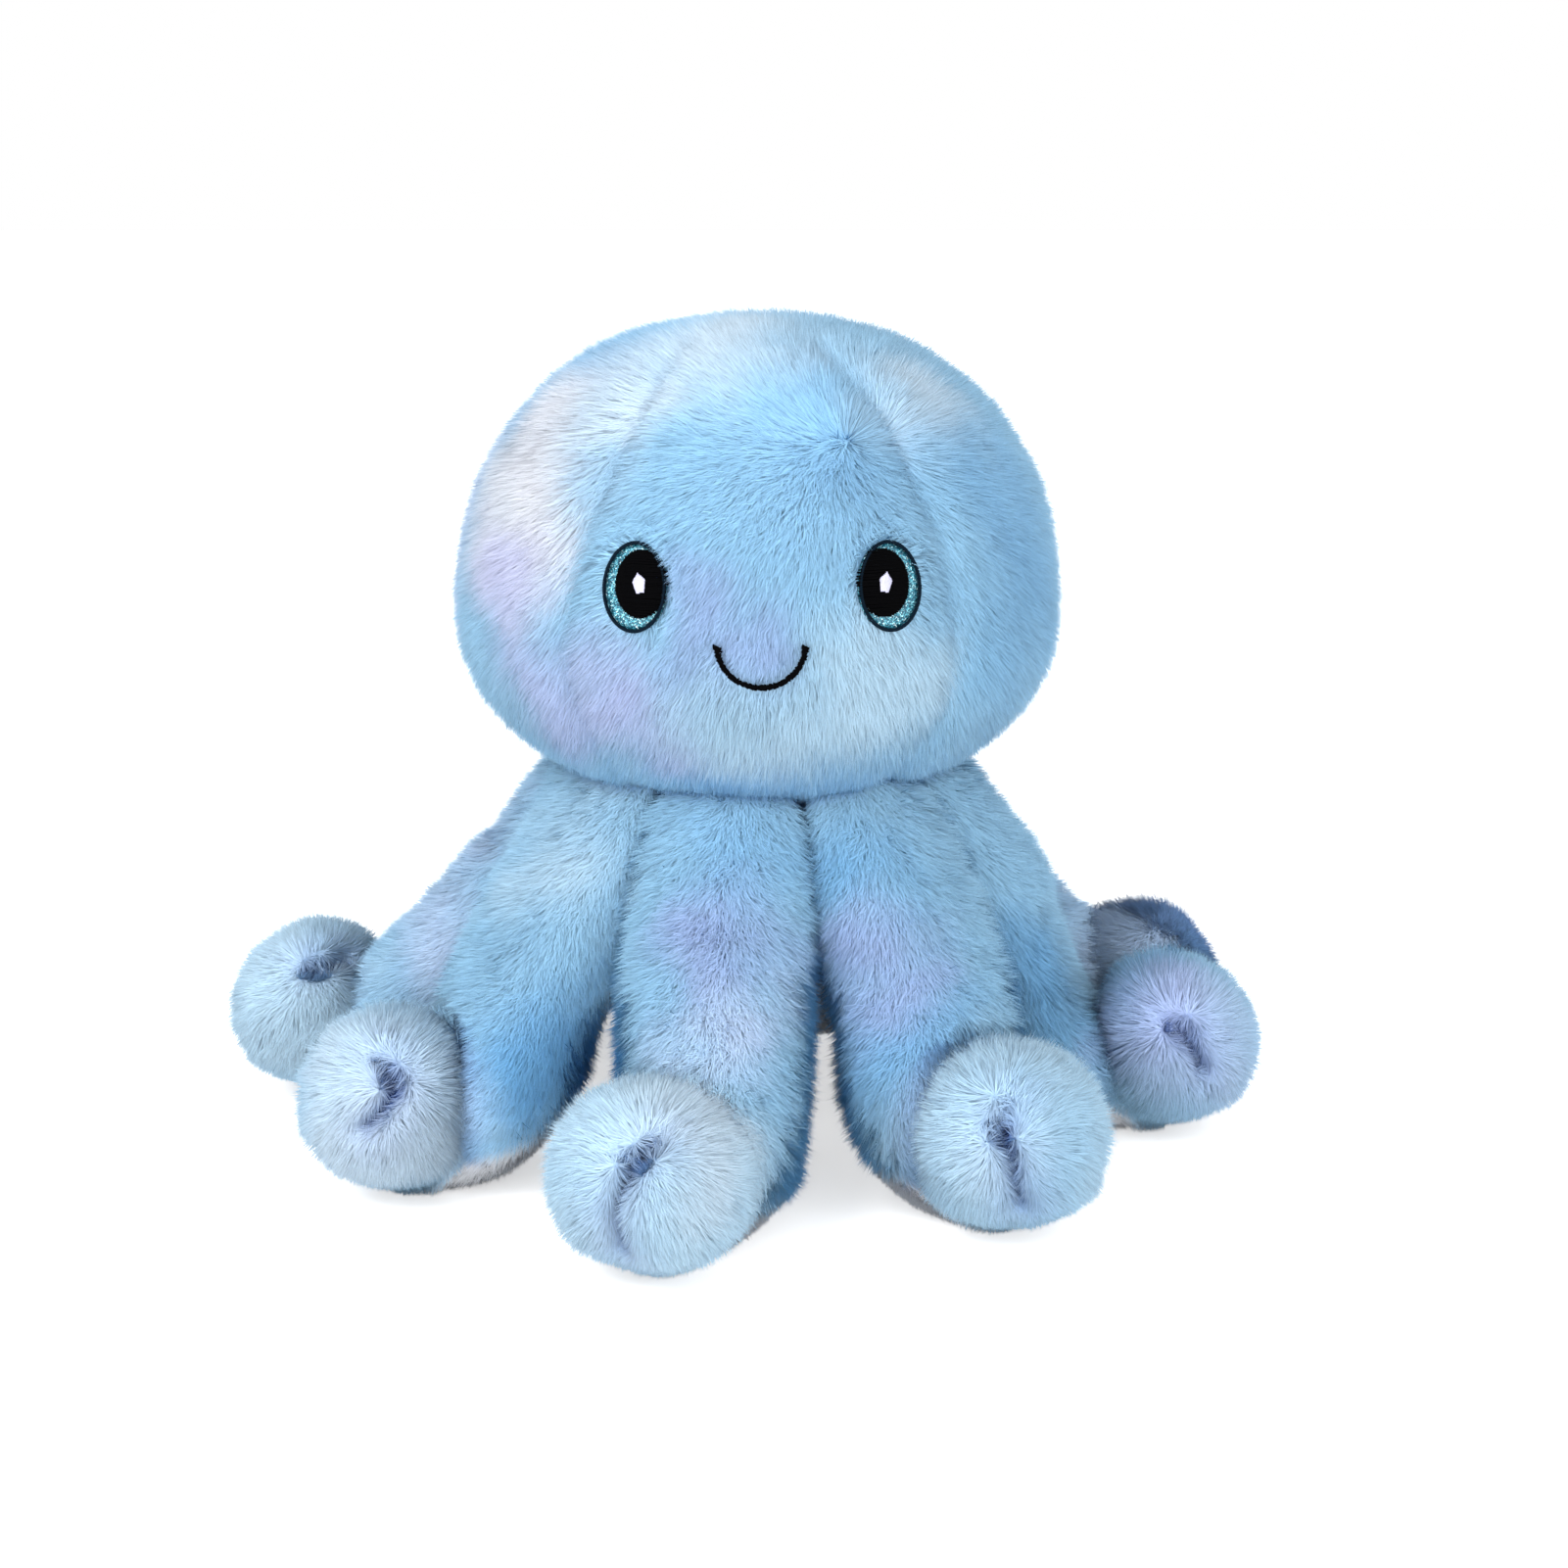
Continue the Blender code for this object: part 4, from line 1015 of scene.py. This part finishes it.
def buildMouth():
    place = FacePlace(0.0, mouth["level"])
    chance = np.random.default_rng(21)
    strands = []
    for angle in np.linspace(-mouth["reach"], mouth["reach"], stitch["mouthCount"]):
        middle = mouthPlace(angle)
        run = mouthPlace(angle + 0.01) - mouthPlace(angle - 0.01)
        run = run / np.hypot(*run)
        # stitches lie a little slanted across the line, and spread at its ends
        aside = np.array([-run[1], run[0]]) * 0.9 + run * 0.45
        ended = abs(angle) > mouth["reach"] - 0.09
        wide = stitch["mouthWide"] * (1.5 if ended else 1.0)
        low, high = wide / 2 + chance.uniform(-0.5, 1.0, 2) * stitch["mouthJitter"]
        strands.append((middle - aside * low, middle + aside * high))
    item = threads(place, "mouth_stitches", strands, stitch["mouthThread"], 0.35 * mm,
                   stitch["mouthDepth"], blackThread)
    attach(item, "head")
    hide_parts("mouth_stitch")


buildEye(-1, "right_eye")
buildEye(1, "left_eye")
buildMouth()
print("eyes and mouth are stitched")

# Limbs and skirt: one stuffed tube of pile for each limb, from the neck to its rolled end

limb = {
    "first": -9.0,
    "step": 45.0,
    "hingeRadius": 87.0 * mm,
    "hingeHeight": 80.0 * mm,
    "slope": 53.0,
    "rootThick": 44.0 * mm,
    "rootClearance": 0.9 * mm,
    "footThick": 20.6 * mm,
    "footWide": 51.0 * mm,
    "footTaper": 0.38,
    "ball": 27.6 * mm,
    "footCut": 0.5 * mm,
    "neckRun": 52.0 * mm,
    "leave": 0.80,
    "arrive": 0.84,
    "taper": 1.4,
    "power": 2.2,
    # bend aside, turn of the roll, reach, as the solids have them
    "shapes": [(27.0, -31.0, 61.0), (-34.0, 20.0, 49.5), (9.0, 3.0, 53.5),
               (-40.0, -40.0, 66.2), (-4.0, 4.0, 59.0), (5.0, -4.0, 60.0),
               (6.5, 1.0, 68.0), (18.0, -26.0, 53.0)],
    "sink": 4.7 * mm,
    "lean": 1.0,
    "ballLean": 1.2,
    "soleSink": 2.0 * mm,
    "pile": 8.2 * mm,
    "solePile": 3.4 * mm,
    "sides": 40,
    "voxel": 1.8 * mm,
    # the stuffed limb's upper line, as radius and height for a reach of 59 mm
    "upperLine": [(80, 88.5), (87, 80), (93, 73), (99.5, 65.6), (105, 59.5), (110, 54),
                  (114, 49.5), (121, 44), (129, 40)],
    "upperReach": 59.0,
    "sag": {2: 20.0 * mm, 6: 3.0 * mm},
    # how strongly a roll is set off from its limb, in depth and in painted shade
    "tuck": [0.0, 1.0, 0.6, 0.0, 0.5, 0.5, 0.4, 1.0],
    "lap": 2.2 * mm,
    "groove": 9.0 * mm,
    "grooveWide": 2.6 * mm,
    "hole": 5.0 * mm,
    "holeWide": 3.2 * mm,
    "overlap": 2.4 * mm,
    "dip": 3.2 * mm,
    "collar": 3.6 * mm,
    "collarWide": 3.2 * mm,
}
upperRadius, upperHeight = np.array(limb["upperLine"], float).T
slope = math.radians(limb["slope"])
rootRadius = limb["hingeRadius"] - math.sin(slope) * limb["rootThick"] / 2
rootHeight = limb["hingeHeight"] - math.cos(slope) * limb["rootThick"] / 2
halfLobe = math.tan(math.radians(limb["step"] / 2))
rootWide = 2 * (rootRadius * halfLobe - limb["rootClearance"])


class LimbLine:
    # the line that a limb follows, with its axes and sizes at each place

    def __init__(self, number):
        bend, roll, reach = limb["shapes"][number]
        self.azimuth = math.radians(limb["first"] + number * limb["step"])
        self.bend = math.radians(bend)
        self.roll = self.azimuth + math.radians(roll)
        self.reach = reach * mm
        self.sag = limb["sag"].get(number, 0.0)
        # each limb laps over the next one, from the front to the back
        turned = (math.degrees(self.azimuth) + 180) % 360 - 180
        self.lap = 0.0 if number == 0 else math.copysign(limb["lap"], turned)
        self.steps = 60
        self.plan = [outward(self.azimuth) * rootRadius]
        for step in range(self.steps):
            heading = outward(self.heading((step + 0.5) / self.steps))
            self.plan.append(self.plan[-1] + heading * self.reach / self.steps)
        self.ballCentre = self.plan[-1] + np.array([0, 0, limb["ball"] - limb["footCut"]])

    def heading(self, share):
        turned = float(smooth(share))
        aside = self.bend * math.sin(math.pi * min(max(share, 0.0), 1.0)) * (1.0 - turned)
        return mix(self.azimuth, self.roll, turned) + aside

    def descent(self, share):
        # out and up along the limb, with its slope
        start = np.array([rootRadius, rootHeight])
        end = np.array([rootRadius + self.reach, limb["footThick"] / 2 - limb["footCut"]])
        leave = start + np.array([math.cos(slope), -math.sin(slope)]) * (
            limb["leave"] * (start[1] - end[1]))
        arrive = end - np.array([limb["arrive"] * self.reach, 0.0])
        rest = 1.0 - share
        point = (start * rest ** 3 + leave * 3 * rest ** 2 * share
                 + arrive * 3 * rest * share ** 2 + end * share ** 3)
        run = ((leave - start) * rest ** 2 + (arrive - leave) * 2 * rest * share
               + (end - arrive) * share ** 2)
        return point, run / np.hypot(*run)

    def station(self, share):
        # share is below 0 in the skirt, 0 at the root and 1 at the foot
        if share < 0:
            back = -share * limb["neckRun"]
            point = outward(self.azimuth) * (rootRadius - math.cos(slope) * back)
            point[2] = rootHeight + math.sin(slope) * back
            run = np.array([math.cos(slope), -math.sin(slope)])
            heading, thick, wide = self.azimuth, limb["rootThick"], rootWide
        else:
            flat, run = self.descent(share)
            low = mix(limb["footThick"], limb["rootThick"], (1 - share) ** limb["taper"]) / 2
            bottom = flat - np.array([-run[1], run[0]]) * low
            # the top of the stuffed limb runs straight on to the top of its roll
            along = mix(upperRadius[1], upperRadius[-1], 0.75 * share + 0.25 * share ** 2)
            top = np.array([
                rootRadius + (along * mm - rootRadius) * self.reach / mm / limb["upperReach"],
                np.interp(along, upperRadius, upperHeight) * mm
                - self.sag * math.sin(math.pi * share)])
            middle, tall = (top + bottom) / 2, top - bottom
            thick = np.hypot(*tall)
            run = np.array([tall[1], -tall[0]]) / thick
            ahead = (middle[0] - rootRadius) / self.reach
            at = min(max(ahead, 0.0) * self.steps, self.steps - 1e-6)
            index = int(at)
            point = mix(self.plan[index], self.plan[index + 1], at - index)
            point = np.array([point[0], point[1], middle[1]])
            heading = self.heading(ahead)
            wide = mix(rootWide, limb["footWide"], float(smooth(share)))
            wide *= 1 - limb["footTaper"] * float(smooth((share - 0.7) / 0.3))
        lapped = self.lap * float(1 - smooth((share - 0.2) / 0.4))
        point = point + across(heading) * lapped
        up = outward(heading) * -run[1] + np.array([0, 0, run[0]])
        along = outward(heading) * run[0] + np.array([0, 0, run[1]])
        return point, along, across(heading), up, wide / 2, thick / 2


def limbSkin(name, line):
    angles = np.linspace(0, 2 * math.pi, limb["sides"], endpoint=False)
    power = 2.0 / limb["power"]
    side = np.sign(np.cos(angles)) * np.abs(np.cos(angles)) ** power
    rise = np.sign(np.sin(angles)) * np.abs(np.sin(angles)) ** power
    shares = np.concatenate([np.linspace(-1, 0, 12), np.linspace(0.05, 1.0, 20)])
    rows = []
    for share in shares:
        point, along, cross, up, wide, thick = line.station(share)
        half = thick - np.where(rise > 0, limb["sink"], limb["soleSink"])
        row = (point + cross * side[:, None] * (wide - limb["sink"])
               + up * (rise * half)[:, None])
        # beside its neighbours a limb is pressed flat
        out = row @ outward(line.azimuth)
        aside = row @ across(line.azimuth)
        room = np.maximum(out * halfLobe - 2.2 * mm, 2 * mm)
        held = np.clip(aside, -room, room)
        keep = float(smooth((share - 0.1) / 0.4))
        row = row + across(line.azimuth) * ((held - aside) * (1 - keep))[:, None]
        rows.append(row)
    points, faces = gridRing(rows)
    radius = limb["ball"] - limb["sink"] - 0.6 * mm
    turns = np.linspace(0, 2 * math.pi, 48, endpoint=False)
    rises = np.linspace(-math.pi / 2 + 0.05, math.pi / 2 - 0.05, 24)
    rollAcross, rollOut = across(line.roll), outward(line.roll)
    ball = []
    for angle in rises:
        ring = (rollAcross * (math.sin(angle) * radius * 1.02)
                + np.cos(turns)[:, None] * rollOut * math.cos(angle) ** 0.86 * radius
                + np.sin(turns)[:, None] * np.array([0, 0, 1.0]) * math.cos(angle) ** 0.86
                * radius)
        ball.append(line.ballCentre + ring)
    ballPoints, ballFaces = gridRing(ball)
    shifted = [tuple(i + len(points) for i in face) for face in ballFaces]
    skin = newObject(name, np.concatenate([points, ballPoints]), faces + shifted)
    facesOut(skin)
    remeshed(skin, limb["voxel"], 4)
    return skin


# Where each rolled end opens, then the slit through that place: azimuth and height angles
# seen from the ball's middle
slits = {
    0: ((-11, 35), [(3, 46), (-11, 35), (-23, 1), (-21, -33)]),
    1: ((-13, 28), [(-11, 39), (-13, 24), (-4, 5), (5, -29)]),
    2: ((6, 25), [(0, 31), (7, 24), (14, 10), (19, -1)]),
    3: ((112, 30), [(104, 34), (112, 10), (108, -12), (118, -40)]),
    4: ((158, 30), [(150, 34), (158, 10), (154, -12), (166, -40)]),
    5: ((-138, 30), [(-130, 34), (-138, 10), (-134, -12), (-146, -40)]),
    6: ((9, 51), [(0, 50), (10, 52), (30, 54), (48, 54)]),
    7: ((8, 36), [(-3, 49), (8, 37), (11, 25), (-9, 4)]),
}


def directions(pairs):
    # unit vectors of azimuth and height angles in degrees
    turn, rise = np.radians(np.array(pairs, float)).T
    return np.stack([np.sin(turn) * np.cos(rise), -np.cos(turn) * np.cos(rise),
                     np.sin(rise)], 1)


def alongPath(points, path, centre):
    # distance from a line of straight pieces, the nearest place on it, and the side of it
    best = np.full(len(points), 1e9)
    nearest = np.zeros_like(points)
    hand = np.zeros(len(points))
    for first, second in zip(path[:-1], path[1:]):
        run = second - first
        share = np.clip((points - first) @ run / (run @ run), 0, 1)
        place = first + share[:, None] * run
        away = np.linalg.norm(points - place, axis=1)
        closer = away < best
        best = np.where(closer, away, best)
        nearest[closer] = place[closer]
        turned = np.cross(run, first - centre)
        hand = np.where(closer, (points - place) @ turned, hand)
    return best, nearest, np.sign(hand)


def shapeLimb(number):
    # the bare skin of a limb, with what its pile is laid by
    line = LimbLine(number)
    skin = limbSkin("arm_%d_plush" % (number + 1), line)
    points = pointsOf(skin)
    normals = normalsOf(skin)
    fromBall = points - line.ballCentre
    onBall = 1 - smooth((np.linalg.norm(fromBall, axis=1) / mm - 23) / 5)
    opening, slitLine = slits[number]
    reach = limb["ball"] - limb["sink"]
    path = line.ballCentre + directions(slitLine) * reach
    opening = line.ballCentre + directions([opening])[0] * reach
    away, nearest, side = alongPath(points, path, line.ballCentre)
    hole = np.linalg.norm(points - opening, axis=1)
    slit = np.maximum(limb["groove"] * np.exp(-(away / limb["grooveWide"]) ** 2),
                      (limb["groove"] + limb["hole"]) * np.exp(-(hole / limb["holeWide"]) ** 2))
    # one lip of the slit lies over the other
    lip = limb["overlap"] * np.where(side > 0, np.exp(-away / (9 * mm)), 0.0)
    # and the roll is drawn in where it meets the limb
    behind = fromBall @ outward(line.roll) + 17 * mm
    close = np.linalg.norm(fromBall, axis=1) < 34 * mm
    collar = limb["collar"] * np.exp(-(behind / limb["collarWide"]) ** 2)
    collar *= limb["tuck"][number]
    collar *= smooth((points[:, 2] / mm - 8) / 10) * close
    cut = (slit + lip) * onBall + collar
    points = points - normals * cut[:, None] + wobble(points / mm, 0.06, number) * 0.6 * mm
    points[:, 2] = np.maximum(points[:, 2], 1.6 * mm)
    setPoints(skin, points)
    return {"line": line, "skin": skin, "tree": skinTree(skin), "onBall": onBall,
            "away": away, "nearest": nearest, "hole": hole, "opening": opening,
            "behind": np.where(close, behind, 1.0)}


def coatLimb(number, shaped):
    made = shaped[number]
    skin, line, onBall, away = made["skin"], made["line"], made["onBall"], made["away"]
    points = pointsOf(skin)
    normals = normalsOf(skin)
    # where each point is along the limb
    shares = np.concatenate([np.linspace(-1, 0, 20), np.linspace(0.04, 1, 25)])
    stations = [line.station(share) for share in shares]
    places = np.array([s[0] for s in stations])
    nearestStation = np.argmin(np.linalg.norm(points[:, None] - places[None], axis=2), axis=1)
    share = shares[nearestStation]
    along = np.array([s[1] for s in stations])[nearestStation]
    cross = np.array([s[2] for s in stations])[nearestStation]
    offset = points - places[nearestStation]
    aside = np.sum(offset * cross, axis=1) / (limb["footWide"] / 2)
    comb = along + cross * (aside * 0.75)[:, None] + 0.45 * wobble(points / mm, 0.03, 20 + number)
    fromSlit = unit(points - made["nearest"])
    radial = unit(points - made["opening"])
    ballComb = unit(fromSlit * np.exp(-away / (7 * mm))[:, None] + radial * 0.7
                    + np.array([0, 0, -0.3])
                    + 1.0 * wobble(points / mm, 0.10, 40 + number))
    comb = mix(comb, ballComb, onBall[:, None])
    comb = unit(inSkin(comb, normals)) * mix(limb["lean"], limb["ballLean"], onBall)[:, None]
    # the short white pile underneath shows as a low band beside the floor
    steep = -normals[:, 2]
    sole = np.maximum(smooth((steep - 0.25) / 0.3),
                      smooth((steep + 0.35) / 0.25) * (1 - smooth((points[:, 2] / mm - 12) / 4)))
    sole *= (1 - onBall) * smooth((share + 0.35) / 0.2)
    tall = mix(limb["pile"], limb["solePile"], sole)
    # in the slit it is short, and painted in shade
    inSlit = np.maximum(np.exp(-(away / (2.0 * mm)) ** 2),
                        np.exp(-(made["hole"] / (3.2 * mm)) ** 2)) * onBall
    bySlit = np.exp(-(np.minimum(away, made["hole"]) / (6.5 * mm)) ** 2) * onBall
    tall = tall * mix(1.0, 0.5, bySlit)
    # the limb's own pile ends short of the roll, whose pile lies over it, and is painted in shade
    # there
    beside = np.exp(-((made["behind"] + 4 * mm) / (4.5 * mm)) ** 2)
    beside *= smooth((points[:, 2] / mm - 8) / 10) * limb["tuck"][number]
    tall = tall * mix(1.0, 0.55, beside)
    # so does the pile under the head, and beside the limb that laps over this one, where it is
    # painted in shade too
    cover = 1 - smooth((inSlit - 0.12) / 0.2)
    seam = np.zeros(len(points))
    dip = np.zeros(len(points))
    toFront = math.cos(line.azimuth)
    for tree, front in [
            (headTree, 1.0),
            (shaped[number - 1]["tree"], math.cos(shaped[number - 1]["line"].azimuth)),
            (shaped[(number + 1) % 8]["tree"],
             math.cos(shaped[(number + 1) % 8]["line"].azimuth))]:
        apart = nearness(points, tree, 12 * mm) / mm
        cover = cover * smooth((apart + 1.0) / 2.0)
        weight = 1.0 if front > toFront else 0.3
        if tree is not headTree and front > toFront:
            dip = np.maximum(dip, 1 - smooth((apart + 1) / 7))
        seam = np.maximum(seam, weight * (1 - smooth((apart - 1) / 5)))
    tall = tall * mix(1.0, 0.35, seam)
    points = points - normals * (limb["dip"] * dip)[:, None]
    points[:, 2] = np.maximum(points[:, 2], 1.6 * mm)
    cover *= 1 - smooth((share * -1 - 0.86) / 0.06)
    # low down the pile is shorter, and at the floor it ends
    low = 1 - smooth((points[:, 2] / mm - 8) / 12)
    tall = tall * mix(1.0, 0.5, low * (1 - sole))
    colours = dyedAndShaded(points)
    colours = mix(colours, fibreColour(dyeAndShade["white"]), sole[:, None])
    paintedShadeColour = fibreColour(dyeAndShade["shadow"])
    # a soft painted shade in iris blue round each slit
    colours = mix(colours, fibreColour(dyeAndShade["baths"]["iris"]), 0.4 * bySlit[:, None])
    # painted shade: dark in the slit, in the creases by the head and the neighbouring limbs, and
    # where the roll meets its limb
    shade = np.max([np.minimum(1.6 * inSlit, 1.0), 0.65 * seam ** 2, 0.35 * beside], axis=0)
    colours = mix(colours, paintedShadeColour, shade[:, None])
    setPoints(skin, points + axis)
    grow(skin, colours, comb, cover, tall, 10 + number)
    lift = pointsOf(skin)
    lift[:, 2] = np.maximum(lift[:, 2], 0.15 * mm)
    setPoints(skin, lift)


shapedLimbs = [shapeLimb(number) for number in range(8)]
for number in range(8):
    coatLimb(number, shapedLimbs)
for number in range(8):
    plush, line = shapedLimbs[number]["skin"], shapedLimbs[number]["line"]
    arm = "arm_%d" % (number + 1)
    hinge = outward(line.azimuth) * limb["hingeRadius"] + axis
    hinge[2] = limb["hingeHeight"]
    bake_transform(plush)
    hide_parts("skirt_panel_%d" % (number + 1), arm + "_top_panel",
                arm + "_underside_panel", arm + "_filling")
print("limbs are grown")

# Body between the limbs: short white pile underneath

body = {
    "profile": [(0, 36), (20, 36), (42, 38), (50, 50), (54, 62), (52, 80), (46, 98), (30, 104),
                (0, 105)],
    "columns": 96,
    "lean": 0.7,
}


def buildBody():
    angles = np.linspace(0, 2 * math.pi, body["columns"], endpoint=False)
    rows = []
    for radius, height in body["profile"]:
        radius = max(radius, 0.5)
        rows.append(np.stack([np.sin(angles) * radius, -np.cos(angles) * radius,
                              np.full_like(angles, height)], 1) * mm)
    points, faces = gridRing(rows)
    skin = newObject("body_plush", points, faces)
    remeshed(skin, 3 * mm, 8)
    points = pointsOf(skin)
    normals = normalsOf(skin)
    level = points * np.array([1, 1, 0])
    comb = inSkin(unit(level + normals * 0.001), normals)
    setPoints(skin, points + axis)
    white = np.tile(fibreColour(dyeAndShade["white"]), (len(points), 1))
    grow(skin, white, unit(comb) * body["lean"], 1 - smooth((points[:, 2] / mm - 60) / 6),
         np.full(len(points), limb["solePile"]), 30)
    return skin


bodyPlush = buildBody()
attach(bodyPlush, "body")
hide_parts("base_panel", "body_filling")
print("body is made")
